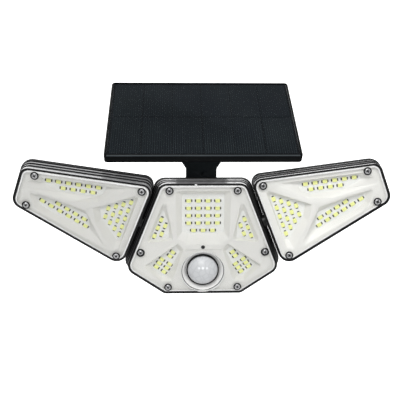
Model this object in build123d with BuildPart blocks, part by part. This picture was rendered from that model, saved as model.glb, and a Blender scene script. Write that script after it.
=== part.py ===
from build123d import *
from math import sin, cos, tan, radians, hypot
import os

os.makedirs("parts", exist_ok=True)

# ---------------------------------------------------------------------------
# Solar motion sensor wall light with three lamp heads.
# Frame: +X right, +Z up, the light looks towards -Y, the wall is at Y = 0 and
# the origin is the middle of the wall plate's back face. Millimetres.
# Heads are drawn in "face" coordinates: x right, y up, z out of the face,
# measured from the middle of the centre head's top row of LEDs.
# ---------------------------------------------------------------------------

# where the centre head's face frame sits
LED_Y = -82.0          # LED plane, in front of the wall
LED_Z = 26.0           # top LED row above the wall plate's middle

# head section, depths along face z
COVER_FRONT = 4.6
COVER_BACK = 3.0
RIM_TOP = 4.2
LEDGE = 1.2            # ledge that carries the gasket
GASKET_TOP = 2.0
BOARD_TOP = -0.7
BOARD_BACK = -2.3
STEP_1 = -0.2          # the side wall grows in three steps
STEP_2 = -2.6
STEP_3 = -5.1
SHOULDER = -8.6
BACK = -14.0
RIM = 1.8              # rim width outside the clear cover
TOP_RIM = 1.2          # the same along the top edge
INNER_RIM = 1.4        # the side heads' rim next to the centre head
GROW_1 = 2.3           # side heads, ends and bottom
GROW_2 = 2.85
GROW_3 = 3.4
TOP_GROW_1 = 2.2       # side heads, top
TOP_GROW_2 = 3.2
TOP_GROW_3 = 4.2
CENTRE_GROW_1 = 2.2    # centre head, bottom
CENTRE_GROW_2 = 2.6
CENTRE_GROW_3 = 3.0
CENTRE_TOP_1 = 1.7     # centre head, top
CENTRE_TOP_2 = 2.2
CENTRE_TOP_3 = 2.6
SLANT_RIM = 1.4        # centre head, sides towards the side heads
SLANT_GROW_1 = 2.35
SLANT_GROW_2 = 3.3
SLANT_GROW_3 = 4.25
HOLLOW = 0.9
SLANT_HOLLOW = 1.6
BACK_IN = -3.0
INNER_FLOOR = -12.0

# slanted sides between the heads
SLANT = 21.8           # from vertical, in the face
SHAFT_AT = (46.2, -18.0, -5.0)
SHAFT_R = 4.5
WIRE_R = 2.6
TWIST_LEFT = 5.5       # rest angles of the two side heads about their shafts
TWIST_RIGHT = -9.5

# battery box behind the centre head
BOX_X = 36.0
BOX_TOP = -14.0
BOX_BOTTOM = -68.0
BOX_BACK = -36.5
BOX_SCREWS = [(39.6, -34.0), (-39.6, -34.0), (39.6, -54.0), (-39.6, -54.0)]

# motion sensor
PIR_Y = -55.4
PIR_CONE_R = 15.4
PIR_RING_R = 12.7
PIR_DOME_R = 11.45
PIR_DOME_TOP = 8.2

# lamp hinge and panel hinge
LAMP_PIVOT_Y = -36.0
EAR_R = 8.0
BOLT_R = 2.5
PANEL_TILT = 29.0
PANEL_W = 144.4
PANEL_D = 89.5
PANEL_T = 7.0
PANEL_MID_Y = -46.9
PANEL_MID_Z = 83.3
PANEL_PIVOT = -17.6

# wall bracket
PLATE_W = 64.0
PLATE_H = 42.0
PLATE_T = 5.0
SCREW_DX = 48.0
SCREW_DZ = 26.0
WALL_HOLE_R = 2.3
NECK_HALF = 12.2

# LED packages
LED_L = 3.5
LED_W = 2.8

SA, CA = sin(radians(SLANT)), cos(radians(SLANT))

# ---------------------------------------------------------------------------
# Planes
# ---------------------------------------------------------------------------
FACE = Plane(origin=(0, LED_Y, LED_Z), x_dir=(1, 0, 0), z_dir=(0, -1, 0))


def row_point(x, y, z):
    return Vector(x, LED_Y - z, LED_Z + y)


def shaft_plane(s):
    """Plane across the shaft of one side, z pointing away from the centre head."""
    return Plane(
        origin=row_point(s * SHAFT_AT[0], SHAFT_AT[1], SHAFT_AT[2]),
        x_dir=(0, -1, 0),
        z_dir=(s * CA, 0, SA),
    )


def twisted_face(s, degrees_down):
    """The face plane turned about one shaft so that it looks down by an angle."""
    turn = Axis((0, 0, 0), (CA, 0, s * SA))
    centre = row_point(s * SHAFT_AT[0], SHAFT_AT[1], SHAFT_AT[2])
    arm = (FACE.origin - centre).rotate(turn, degrees_down)
    return Plane(
        origin=centre + arm,
        x_dir=FACE.x_dir.rotate(turn, degrees_down),
        z_dir=FACE.z_dir.rotate(turn, degrees_down),
    )


SHAFT_L = shaft_plane(-1)
SHAFT_R_PLANE = shaft_plane(1)
WING_L = twisted_face(-1, TWIST_LEFT)
WING_R = twisted_face(1, TWIST_RIGHT)

tilt = radians(PANEL_TILT)
PANEL = Plane(
    origin=(0, PANEL_MID_Y, PANEL_MID_Z),
    x_dir=(1, 0, 0),
    z_dir=(0, -sin(tilt), cos(tilt)),
)
PIVOT_Y = PANEL_MID_Y - PANEL_PIVOT * sin(tilt)
PIVOT_Z = PANEL_MID_Z + PANEL_PIVOT * cos(tilt)

# ---------------------------------------------------------------------------
# Outlines: straight edges, clockwise, each a point and a direction. An outline
# is the edges moved outwards and met at rounded corners.
# ---------------------------------------------------------------------------


def direction(angle):
    return (cos(radians(angle)), sin(radians(angle)))


CENTRE_EDGES = [
    ((0.0, 13.3), direction(0)),
    ((42.85, -17.0), (SA, -CA)),
    ((43.0, -62.1), direction(180 + 35.0)),
    ((0.0, -71.9), direction(180)),
    ((-43.0, -62.1), direction(180 - 35.0)),
    ((-42.85, -17.0), (SA, CA)),
]
CENTRE_R = [6.0, 6.0, 6.6, 4.0, 4.0, 6.6]     # corner at the start of each edge
WING_EDGES = [
    ((49.25, -17.0), (-SA, CA)),
    ((85.5, 20.6), direction(8.2)),
    ((134.1, 13.0), direction(-90 + 20.3)),
    ((100.22, -23.93), direction(180 + 33.2)),
]
WING_R_CORNERS = [7.0, 5.6, 5.6, 6.2]


def outline(edges, radii, outs, s=1):
    """Corner points and radii of an outline moved outwards by outs."""
    lines = []
    for ((px, py), (dx, dy)), out in zip(edges, outs):
        lines.append((px - dy * out, py + dx * out, dx, dy))
    points, rounds = [], []
    for i, (x2, y2, ax, ay) in enumerate(lines):
        x1, y1, bx, by = lines[i - 1]
        cross = bx * ay - by * ax
        t = ((x2 - x1) * ay - (y2 - y1) * ax) / cross
        points.append((s * (x1 + bx * t), y1 + by * t))
        rounds.append(max(0.8, radii[i] + min(outs[i - 1], outs[i])))
    return points, rounds


def centre_outline(out, side=None, top=None):
    side = out if side is None else side
    top = out if top is None else top
    return outline(CENTRE_EDGES, CENTRE_R, [top, side, out, out, out, side])


def wing_outline(out, inner, s, top=None):
    top = out if top is None else top
    return outline(WING_EDGES, WING_R_CORNERS, [inner, top, out, out], s)


def row_of(start, angle, pitch, count, first=0.0, side=0.0):
    """LED centres along a straight row, with its direction."""
    ux, uy = direction(angle)
    return [
        (
            start[0] + ux * pitch * (i + first) - uy * side,
            start[1] + uy * pitch * (i + first) + ux * side,
            angle,
        )
        for i in range(count)
    ]


# LED positions, each x, y and the angle of the package's long axis
centre_leds = []
for row in range(4):
    centre_leds += [((c - 1.5) * 7.2, -5.84 * row, 0) for c in range(4)]
centre_leds += [((c - 1) * 7.2, -5.84 * 4, 0) for c in range(3)]
half = row_of((31.3, -14.7), -67.5, 7.0, 3) + row_of((31.3, -14.7), -67.5, 7.0, 2, 0.5, -4.52)
for x, y, a in row_of((22.85, -41.1), -54.9, 3.79, 2):
    half.append((x, y, a + 90))
for x, y, a in row_of((22.85, -41.1), -54.9, 3.79, 3, 2.5, 3.53):
    half.append((x, y, a + 90))
for x, y, a in row_of((22.85, -41.1), -54.9, 3.79, 3, 2.5, -3.53):
    half.append((x, y, a + 90))
centre_leds += half + [(-x, y, 180 - a) for x, y, a in half]

wing_leds = row_of((76.6, 11.4), 8.5, 7.28, 6) + row_of((76.6, 11.4), 8.5, 7.28, 4, 0.5, -4.46)
for column, count in enumerate((5, 4, 3, 2)):
    wing_leds += row_of((53.2, -0.2), -69.2, 7.0, count, 0.5 * column, 4.74 * column)
wing_leds += row_of((88.05, -19.4), 33.5, 7.27, 6) + row_of((88.05, -19.4), 33.5, 7.27, 4, 0.5, 4.33)

CENTRE_SCREWS = [(25.0, 9.2), (-25.0, 9.2), (47.1, -39.3), (-47.1, -39.3), (26.7, -68.0), (-26.7, -68.0)]
WING_SCREWS = [(121.1, 22.0), (129.5, -0.7), (44.7, 10.3), (65.5, -42.2)]

# reflector pockets: outline at the front and on the board
CENTRE_POCKETS = [
    (
        [(-20.5, 8.4), (20.5, 8.4), (19.6, -31.4), (11.8, -36.6), (-11.8, -36.6), (-19.6, -31.4)],
        [(-15.8, 5.4), (15.8, 5.4), (15.8, -25.0), (11.0, -27.6), (-11.0, -27.6), (-15.8, -25.0)],
    ),
    (
        [(28.4, 2.6), (42.9, -32.0), (22.4, -30.0), (25.2, -14.8)],
        [(29.8, -6.0), (40.1, -31.3), (25.6, -29.4), (26.0, -18.2)],
    ),
    (
        [(18.8, -33.0), (45.0, -51.2), (32.0, -63.4), (23.6, -63.4), (14.8, -37.6)],
        [(21.0, -36.3), (41.0, -50.6), (31.9, -60.8), (27.9, -60.8), (17.6, -40.4)],
    ),
]
CENTRE_POCKETS += [
    ([(-x, y) for x, y in front], [(-x, y) for x, y in back])
    for front, back in CENTRE_POCKETS[1:3]
]
WING_POCKETS = [
    (
        [(53.0, 11.6), (117.0, 20.4), (126.5, 16.8), (130.5, 13.0), (96.0, 1.6), (78.0, 1.2)],
        [(70.0, 12.4), (115.5, 19.4), (117.8, 15.4), (105.5, 7.8), (80.0, 3.8), (74.0, 6.0)],
    ),
    (
        [(46.6, 6.9), (81.6, -3.6), (79.4, -16.0), (69.0, -37.8), (63.4, -36.8)],
        [(49.4, 3.6), (77.0, -2.8), (75.8, -13.5), (65.4, -31.3), (61.6, -31.0)],
    ),
    (
        [(87.0, -5.6), (119.5, 6.4), (127.5, 8.6), (124.0, -2.0), (119.5, -7.4), (74.0, -36.4)],
        [(86.2, -10.2), (107.5, 1.2), (121.8, 4.4), (121.4, -1.6), (112.4, -8.8), (84.6, -23.6)],
    ),
]

# ---------------------------------------------------------------------------
# Wall bracket: plate, tongue for the lamp hinge, arm, neck and fork
# ---------------------------------------------------------------------------
NECK_FRONT = PIVOT_Y - 6.0
NECK_BACK = PIVOT_Y + 6.0
with BuildPart() as wall_bracket:
    with BuildSketch(Plane.XZ.offset(0)):
        RectangleRounded(PLATE_W, PLATE_H, 8)
    extrude(amount=PLATE_T)
    chamfer(wall_bracket.faces().sort_by(Axis.Y)[0].edges(), 1.2)
    with BuildSketch(Plane.XZ.offset(0)):
        with GridLocations(SCREW_DX, SCREW_DZ, 2, 2):
            Circle(WALL_HOLE_R)
    extrude(amount=PLATE_T, mode=Mode.SUBTRACT)
    # tongue of the lamp hinge
    with BuildSketch(Plane.YZ.offset(-9.6)):
        with Locations((LAMP_PIVOT_Y, 0)):
            Circle(EAR_R)
        with Locations(((LAMP_PIVOT_Y - 4.0) / 2, 0)):
            Rectangle(-LAMP_PIVOT_Y - 4.0, 2 * EAR_R)
    extrude(amount=19.2)
    # arm and gussets
    with BuildSketch(Plane.YZ.offset(-NECK_HALF)):
        with BuildLine():
            FilletPolyline(
                (-3.5, 11.0), (-9.0, 17.5), (NECK_FRONT, 17.5), (NECK_FRONT, 38.0),
                (NECK_BACK, 38.0), (NECK_BACK + 2.0, 31.0), (-8.0, 22.6), (-3.5, 20.0),
                radius=[3.0, 3.0, 0.0, 0.0, 2.0, 2.0], close=False,
            )
            Line((-3.5, 20.0), (-3.5, 11.0))
        make_face()
    extrude(amount=2 * NECK_HALF)
    # neck, shoulders and fork seen from the front
    with BuildSketch(Plane.XZ.offset(-NECK_BACK)):
        with BuildLine():
            Polyline(
                (-NECK_HALF, 36.0), (-NECK_HALF, 41.0), (-16.0, 46.9), (-21.4, 52.6),
                (-21.4, 58.0), (-20.0, 59.6), (-20.0, PIVOT_Z), (-13.0, PIVOT_Z), (-13.0, 57.0),
                (13.0, 57.0), (13.0, PIVOT_Z), (20.0, PIVOT_Z), (20.0, 59.6), (21.4, 58.0),
                (21.4, 52.6), (16.0, 46.9), (NECK_HALF, 41.0), (NECK_HALF, 36.0), close=True,
            )
        make_face()
    extrude(amount=NECK_BACK - NECK_FRONT)
    with BuildSketch(Plane.YZ.offset(13.0), Plane.YZ.offset(-20.0)):
        with Locations((PIVOT_Y, PIVOT_Z)):
            Circle(EAR_R)
        with Locations((PIVOT_Y, PIVOT_Z - 8.0)):
            Rectangle(16.0, 16.0)
    extrude(amount=7.0)
    # hinge holes
    with BuildSketch(Plane.YZ.offset(-25)):
        with Locations((PIVOT_Y, PIVOT_Z), (LAMP_PIVOT_Y, 0)):
            Circle(BOLT_R + 0.02)
    extrude(amount=50, mode=Mode.SUBTRACT)
    # dimple low on the neck's front
    with BuildSketch(Plane.XZ.offset(-NECK_FRONT)):
        with Locations((0, 37.2)):
            Circle(1.3)
    extrude(amount=-1.0, mode=Mode.SUBTRACT)
    # lead channel down the back of the neck
    with BuildSketch(Plane.XZ.offset(-NECK_BACK)):
        with Locations((0, 46)):
            Rectangle(6.0, 26.0)
    extrude(amount=3.0, mode=Mode.SUBTRACT)
wall_bracket.part.label = "wall_bracket"
export_step(wall_bracket.part, "parts/wall_bracket.step")


# hinge bolts, each with its nut on the other side
with BuildPart() as lamp_hinge_bolt:
    with BuildSketch(Plane.YZ.offset(-20.5)):
        with Locations((LAMP_PIVOT_Y, 0)):
            Circle(BOLT_R)
    extrude(amount=36.0)
    with BuildSketch(Plane.YZ.offset(15.4)):
        with Locations((LAMP_PIVOT_Y, 0)):
            Circle(4.6)
    extrude(amount=3.6)
    with BuildSketch(Plane.YZ.offset(17.0)):
        with Locations((LAMP_PIVOT_Y, 0)):
            RegularPolygon(2.3, 6)
    extrude(amount=4.0, mode=Mode.SUBTRACT)
lamp_hinge_bolt.part.label = "lamp_hinge_bolt"
export_step(lamp_hinge_bolt.part, "parts/lamp_hinge_bolt.step")

with BuildPart() as lamp_hinge_nut:
    with BuildSketch(Plane.YZ.offset(-19.4)):
        with Locations((LAMP_PIVOT_Y, 0)):
            RegularPolygon(4.6, 6)
            Circle(BOLT_R, mode=Mode.SUBTRACT)
    extrude(amount=4.0)
lamp_hinge_nut.part.label = "lamp_hinge_nut"
export_step(lamp_hinge_nut.part, "parts/lamp_hinge_nut.step")

with BuildPart() as panel_hinge_bolt:
    with BuildSketch(Plane.YZ.offset(-25.5)):
        with Locations((PIVOT_Y, PIVOT_Z)):
            Circle(BOLT_R)
    extrude(amount=46.0)
    with BuildSketch(Plane.YZ.offset(20.0)):
        with Locations((PIVOT_Y, PIVOT_Z)):
            Circle(4.6)
    extrude(amount=3.6)
    with BuildSketch(Plane.YZ.offset(21.6)):
        with Locations((PIVOT_Y, PIVOT_Z)):
            RegularPolygon(2.3, 6)
    extrude(amount=4.0, mode=Mode.SUBTRACT)
panel_hinge_bolt.part.label = "panel_hinge_bolt"
export_step(panel_hinge_bolt.part, "parts/panel_hinge_bolt.step")

with BuildPart() as panel_hinge_nut:
    with BuildSketch(Plane.YZ.offset(-24.0)):
        with Locations((PIVOT_Y, PIVOT_Z)):
            RegularPolygon(4.6, 6)
            Circle(BOLT_R, mode=Mode.SUBTRACT)
    extrude(amount=4.0)
panel_hinge_nut.part.label = "panel_hinge_nut"
export_step(panel_hinge_nut.part, "parts/panel_hinge_nut.step")

# ---------------------------------------------------------------------------
# Solar panel
# ---------------------------------------------------------------------------
with BuildPart() as panel_frame:
    with BuildSketch(PANEL.offset(-PANEL_T)):
        RectangleRounded(PANEL_W, PANEL_D, 2.4)
    extrude(amount=PANEL_T)
    top = panel_frame.faces().filter_by(lambda f: f.normal_at().dot(PANEL.z_dir) > 0.99)
    chamfer(top.edges(), 1.1)
    with BuildSketch(PANEL.offset(-1.8)):
        RectangleRounded(PANEL_W - 3.6, PANEL_D - 3.6, 1.4)
    extrude(amount=3.0, mode=Mode.SUBTRACT)
    with BuildSketch(PANEL.offset(-PANEL_T)):
        RectangleRounded(PANEL_W - 6.0, PANEL_D - 6.0, 1.2)
    extrude(amount=3.8, mode=Mode.SUBTRACT)
    # bosses for the back cover's screws
    with BuildSketch(PANEL.offset(-PANEL_T)):
        with GridLocations(PANEL_W - 16.0, PANEL_D - 16.0, 2, 2):
            Circle(3.2)
            Circle(1.1, mode=Mode.SUBTRACT)
    extrude(amount=3.8)
panel_frame.part.label = "panel_frame"
export_step(panel_frame.part, "parts/panel_frame.step")

with BuildPart() as panel_backsheet:
    with BuildSketch(PANEL.offset(-1.8)):
        RectangleRounded(PANEL_W - 3.8, PANEL_D - 3.8, 1.3)
    extrude(amount=0.8)
panel_backsheet.part.label = "panel_backsheet"
export_step(panel_backsheet.part, "parts/panel_backsheet.step")

with BuildPart() as solar_cells:
    with BuildSketch(PANEL.offset(-1.0)):
        with GridLocations(22.9, 42.2, 6, 2):
            Rectangle(22.3, 41.4)
    extrude(amount=0.2)
solar_cells.part.label = "solar_cells"
export_step(solar_cells.part, "parts/solar_cells.step")

with BuildPart() as panel_glaze:
    with BuildSketch(PANEL.offset(-0.8)):
        RectangleRounded(PANEL_W - 3.8, PANEL_D - 3.8, 1.3)
    extrude(amount=0.5)
panel_glaze.part.label = "panel_glaze"
export_step(panel_glaze.part, "parts/panel_glaze.step")

LUG_PLANE = Plane(origin=PANEL.origin, x_dir=PANEL.y_dir, z_dir=(1, 0, 0))
with BuildPart() as panel_back_cover:
    with BuildSketch(PANEL.offset(-PANEL_T - 1.8)):
        RectangleRounded(PANEL_W - 7.0, PANEL_D - 7.0, 4.0)
    extrude(amount=1.8)
    with BuildSketch(LUG_PLANE.offset(-12.6)):
        with Locations((0, PANEL_PIVOT)):
            Circle(EAR_R)
        with Locations((0, (PANEL_PIVOT - PANEL_T - 0.5) / 2)):
            Rectangle(2 * EAR_R, -PANEL_PIVOT - PANEL_T - 0.5)
    extrude(amount=25.2)
    with BuildSketch(LUG_PLANE.offset(-14)):
        with Locations((0, PANEL_PIVOT)):
            Circle(BOLT_R + 0.08)
    extrude(amount=28, mode=Mode.SUBTRACT)
    # stiffening ribs each side of the lug
    with BuildSketch(PANEL.offset(-PANEL_T - 3.4)):
        with Locations((43.5, 0), (-43.5, 0)):
            Rectangle(38, 1.6)
        with Locations((28, 0), (-28, 0), (52, 0), (-52, 0)):
            Rectangle(1.6, 52)
    extrude(amount=1.8)
    # screw holes, and the hole of the lead's grommet
    with BuildSketch(PANEL.offset(-PANEL_T - 2.0)):
        with GridLocations(PANEL_W - 16.0, PANEL_D - 16.0, 2, 2):
            Circle(1.3)
        with Locations((0, 22)):
            Circle(3.0)
    extrude(amount=2.4, mode=Mode.SUBTRACT)
panel_back_cover.part.label = "panel_back_cover"
export_step(panel_back_cover.part, "parts/panel_back_cover.step")

with BuildPart() as panel_screws:
    with BuildSketch(PANEL.offset(-PANEL_T - 1.8)):
        with GridLocations(PANEL_W - 16.0, PANEL_D - 16.0, 2, 2):
            Circle(1.0)
    extrude(amount=4.6)
    with BuildSketch(PANEL.offset(-PANEL_T - 3.3)):
        with GridLocations(PANEL_W - 16.0, PANEL_D - 16.0, 2, 2):
            Circle(2.3)
    extrude(amount=1.5)
    with BuildSketch(PANEL.offset(-PANEL_T - 3.4)):
        with GridLocations(PANEL_W - 16.0, PANEL_D - 16.0, 2, 2):
            Rectangle(2.6, 0.6)
            Rectangle(0.6, 2.6)
    extrude(amount=0.8, mode=Mode.SUBTRACT)
panel_screws.part.label = "panel_screws"
export_step(panel_screws.part, "parts/panel_screws.step")

with BuildPart() as panel_grommet:
    with BuildSketch(PANEL.offset(-PANEL_T - 1.8)):
        with Locations((0, 22)):
            Circle(3.0)
    extrude(amount=1.8)
    with BuildSketch(PANEL.offset(-PANEL_T - 4.0)):
        with Locations((0, 22)):
            Circle(4.4)
    extrude(amount=2.2)
    with BuildSketch(PANEL.offset(-PANEL_T - 4.2)):
        with Locations((0, 22)):
            Circle(1.5)
    extrude(amount=5.0, mode=Mode.SUBTRACT)
panel_grommet.part.label = "panel_grommet"
export_step(panel_grommet.part, "parts/panel_grommet.step")

# ---------------------------------------------------------------------------
# Centre head
# ---------------------------------------------------------------------------
with BuildPart() as centre_housing:
    # stepped side wall, growing towards the back
    pts, rr = centre_outline(RIM, SLANT_RIM, TOP_RIM)
    with BuildSketch(FACE.offset(STEP_1)):
        with BuildLine():
            FilletPolyline(*pts, radius=rr, close=True)
        make_face()
    extrude(amount=RIM_TOP - STEP_1)
    pts, rr = centre_outline(CENTRE_GROW_1, SLANT_GROW_1, CENTRE_TOP_1)
    with BuildSketch(FACE.offset(STEP_2)):
        with BuildLine():
            FilletPolyline(*pts, radius=rr, close=True)
        make_face()
    extrude(amount=STEP_1 - STEP_2)
    pts, rr = centre_outline(CENTRE_GROW_2, SLANT_GROW_2, CENTRE_TOP_2)
    with BuildSketch(FACE.offset(STEP_3)):
        with BuildLine():
            FilletPolyline(*pts, radius=rr, close=True)
        make_face()
    extrude(amount=STEP_2 - STEP_3)
    pts, rr = centre_outline(CENTRE_GROW_3, SLANT_GROW_3, CENTRE_TOP_3)
    with BuildSketch(FACE.offset(SHOULDER)):
        with BuildLine():
            FilletPolyline(*pts, radius=rr, close=True)
        make_face()
    extrude(amount=STEP_3 - SHOULDER)
    # back, drawn in
    with BuildSketch(FACE.offset(SHOULDER)):
        with BuildLine():
            FilletPolyline(*pts, radius=rr, close=True)
        make_face()
    pts, rr = centre_outline(BACK_IN)
    with BuildSketch(FACE.offset(BACK)):
        with BuildLine():
            FilletPolyline(*pts, radius=rr, close=True)
        make_face()
    loft(ruled=True)
    # seat of the cover and the reflector's flange
    pts, rr = centre_outline(0.0)
    with BuildSketch(FACE.offset(LEDGE)):
        with BuildLine():
            FilletPolyline(*pts, radius=rr, close=True)
        make_face()
    extrude(amount=RIM_TOP - LEDGE + 1, mode=Mode.SUBTRACT)
    # throat inside the ledge
    pts, rr = centre_outline(-1.8)
    with BuildSketch(FACE.offset(-2.0)):
        with BuildLine():
            FilletPolyline(*pts, radius=rr, close=True)
        make_face()
    extrude(amount=LEDGE + 2.5, mode=Mode.SUBTRACT)
    # main hollow
    pts, rr = centre_outline(HOLLOW, SLANT_HOLLOW)
    with BuildSketch(FACE.offset(SHOULDER)):
        with BuildLine():
            FilletPolyline(*pts, radius=rr, close=True)
        make_face()
    extrude(amount=-2.0 - SHOULDER, mode=Mode.SUBTRACT)
    pts, rr = centre_outline(HOLLOW - 0.1, SLANT_HOLLOW - 0.2)
    with BuildSketch(FACE.offset(SHOULDER)):
        with BuildLine():
            FilletPolyline(*pts, radius=rr, close=True)
        make_face()
    pts, rr = centre_outline(-3.4)
    with BuildSketch(FACE.offset(INNER_FLOOR)):
        with BuildLine():
            FilletPolyline(*pts, radius=rr, close=True)
        make_face()
    loft(ruled=True, mode=Mode.SUBTRACT)
    # opening to the battery box, and the bosses for the box's screws
    with BuildSketch(FACE.offset(BACK - 0.5)):
        with Locations((0, (BOX_TOP + BOX_BOTTOM) / 2)):
            RectangleRounded(2 * BOX_X - 4.4, BOX_TOP - BOX_BOTTOM - 4.4, 3)
    extrude(amount=INNER_FLOOR - BACK + 1.0, mode=Mode.SUBTRACT)
    with BuildSketch(FACE.offset(INNER_FLOOR - 0.5)):
        with Locations(*BOX_SCREWS):
            Circle(2.8)
    extrude(amount=4.0)
    with BuildSketch(FACE.offset(BACK - 0.5)):
        with Locations(*BOX_SCREWS):
            Circle(1.25)
    extrude(amount=7.0, mode=Mode.SUBTRACT)
    # screw bosses
    with BuildSketch(FACE.offset(-11.0)):
        with Locations(*CENTRE_SCREWS):
            Circle(3.0)
    extrude(amount=LEDGE + 11.0)
    with BuildSketch(FACE.offset(-8.0)):
        with Locations(*CENTRE_SCREWS):
            Circle(1.4)
    extrude(amount=LEDGE + 9.0, mode=Mode.SUBTRACT)
    # collars and bores of the two shafts
    for plane in (SHAFT_L, SHAFT_R_PLANE):
        with BuildSketch(plane.offset(-2.74 - 1.7)):
            Circle(6.1)
        extrude(amount=3.6)
        with BuildSketch(plane.offset(-2.74 - 3.0)):
            Circle(SHAFT_R + 0.05)
        extrude(amount=8.0, mode=Mode.SUBTRACT)
centre_housing.part.label = "centre_housing"
export_step(centre_housing.part, "parts/centre_housing.step")

# battery box behind the centre head, with the ears of the lamp hinge
with BuildPart() as battery_box:
    with BuildSketch(FACE.offset(BOX_BACK)):
        with Locations((0, (BOX_TOP + BOX_BOTTOM) / 2)):
            RectangleRounded(2 * BOX_X, BOX_TOP - BOX_BOTTOM, 5)
    extrude(amount=BACK - BOX_BACK)
    chamfer(battery_box.faces().sort_by(Axis.Y)[-1].edges(), 1.5)
    # screw tabs
    with BuildSketch(FACE.offset(BACK - 2.2)):
        for x, y in BOX_SCREWS:
            with Locations((x, y)):
                Circle(3.4)
            with Locations((x * 0.93, y)):
                Rectangle(4.4, 6.8)
    extrude(amount=2.2)
    with BuildSketch(FACE.offset(BACK - 2.4)):
        with Locations(*BOX_SCREWS):
            Circle(1.35)
    extrude(amount=3.0, mode=Mode.SUBTRACT)
    # battery bay
    with BuildSketch(FACE.offset(BOX_BACK + 2.2)):
        with Locations((0, (BOX_TOP + BOX_BOTTOM) / 2)):
            RectangleRounded(2 * BOX_X - 4.4, BOX_TOP - BOX_BOTTOM - 4.4, 3)
    extrude(amount=BACK - BOX_BACK, mode=Mode.SUBTRACT)
    # ears
    with BuildSketch(Plane.YZ.offset(10.0), Plane.YZ.offset(-15.0)):
        with Locations((LAMP_PIVOT_Y, 0)):
            Circle(EAR_R)
        with BuildLine():
            Polyline(
                (LED_Y - BOX_BACK - 0.8, 10.0), (LAMP_PIVOT_Y, EAR_R), (LAMP_PIVOT_Y, -EAR_R),
                (LED_Y - BOX_BACK - 0.8, -12.5), close=True,
            )
        make_face()
    extrude(amount=5.0)
    with BuildSketch(Plane.YZ.offset(-16)):
        with Locations((LAMP_PIVOT_Y, 0)):
            Circle(BOLT_R + 0.08)
    extrude(amount=32, mode=Mode.SUBTRACT)
    # holes of the button and of the lead's grommet
    with BuildSketch(FACE.offset(BOX_BACK - 1)):
        with Locations((24.0, -60.2)):
            Circle(4.45)
        with Locations((-24.0, -60.2)):
            Circle(3.0)
    extrude(amount=4.0, mode=Mode.SUBTRACT)
battery_box.part.label = "battery_box"
export_step(battery_box.part, "parts/battery_box.step")

with BuildPart() as battery_box_screws:
    with BuildSketch(FACE.offset(BACK - 2.2)):
        with Locations(*BOX_SCREWS):
            Circle(1.2)
    extrude(amount=7.4)
    with BuildSketch(FACE.offset(BACK - 3.8)):
        with Locations(*BOX_SCREWS):
            Circle(2.5)
    extrude(amount=1.6)
    with BuildSketch(FACE.offset(BACK - 3.9)):
        with Locations(*BOX_SCREWS):
            Rectangle(2.8, 0.65)
            Rectangle(0.65, 2.8)
    extrude(amount=0.9, mode=Mode.SUBTRACT)
battery_box_screws.part.label = "battery_box_screws"
export_step(battery_box_screws.part, "parts/battery_box_screws.step")

with BuildPart() as centre_gasket:
    pts, rr = centre_outline(-0.1)
    with BuildSketch(FACE.offset(LEDGE)):
        with BuildLine():
            FilletPolyline(*pts, radius=rr, close=True)
        make_face()
    extrude(amount=GASKET_TOP - LEDGE)
    pts, rr = centre_outline(-1.7)
    with BuildSketch(FACE.offset(LEDGE)):
        with BuildLine():
            FilletPolyline(*pts, radius=rr, close=True)
        make_face()
    extrude(amount=GASKET_TOP - LEDGE, mode=Mode.SUBTRACT)
    with BuildSketch(FACE.offset(LEDGE)):
        with Locations(*CENTRE_SCREWS):
            Circle(1.8)
    extrude(amount=GASKET_TOP - LEDGE, mode=Mode.SUBTRACT)
centre_gasket.part.label = "centre_gasket"
export_step(centre_gasket.part, "parts/centre_gasket.step")

with BuildPart() as centre_reflector:
    pts, rr = centre_outline(-0.15)
    with BuildSketch(FACE.offset(GASKET_TOP)):
        with BuildLine():
            FilletPolyline(*pts, radius=rr, close=True)
        make_face()
    extrude(amount=COVER_BACK - GASKET_TOP)
    pts, rr = centre_outline(-2.1, -4.9)
    with BuildSketch(FACE.offset(BOARD_TOP)):
        with BuildLine():
            FilletPolyline(*pts, radius=rr, close=True)
        make_face()
    extrude(amount=GASKET_TOP - BOARD_TOP)
    # room for the housing's screw bosses
    with BuildSketch(FACE.offset(BOARD_TOP)):
        with Locations(*CENTRE_SCREWS):
            Circle(3.3)
    extrude(amount=LEDGE - BOARD_TOP + 0.1, mode=Mode.SUBTRACT)
    with BuildSketch(FACE.offset(BOARD_TOP)):
        with Locations(*CENTRE_SCREWS):
            Circle(1.7)
        with Locations((0, -35.8)):
            Circle(1.4)
    extrude(amount=5.0, mode=Mode.SUBTRACT)
    for front, back in CENTRE_POCKETS:
        with BuildSketch(FACE.offset(COVER_BACK)):
            Polygon(*front, align=None)
        with BuildSketch(FACE.offset(BOARD_TOP)):
            Polygon(*back, align=None)
        loft(ruled=True, mode=Mode.SUBTRACT)
    # cone around the motion sensor
    with BuildSketch(FACE.offset(COVER_BACK)):
        with Locations((0, PIR_Y)):
            Circle(PIR_CONE_R)
    with BuildSketch(FACE.offset(BOARD_TOP)):
        with Locations((0, PIR_Y)):
            Circle(PIR_RING_R + 0.3)
    loft(ruled=True, mode=Mode.SUBTRACT)
centre_reflector.part.label = "centre_reflector"
export_step(centre_reflector.part, "parts/centre_reflector.step")

with BuildPart() as centre_led_board:
    pts, rr = centre_outline(-3.0, -5.2)
    with BuildSketch(FACE.offset(BOARD_BACK)):
        with BuildLine():
            FilletPolyline(*pts, radius=rr, close=True)
        make_face()
    extrude(amount=BOARD_TOP - BOARD_BACK)
    with BuildSketch(FACE.offset(BOARD_BACK)):
        with Locations(*CENTRE_SCREWS):
            Circle(3.4)
    extrude(amount=BOARD_TOP - BOARD_BACK, mode=Mode.SUBTRACT)
centre_led_board.part.label = "centre_led_board"
export_step(centre_led_board.part, "parts/centre_led_board.step")

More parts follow.
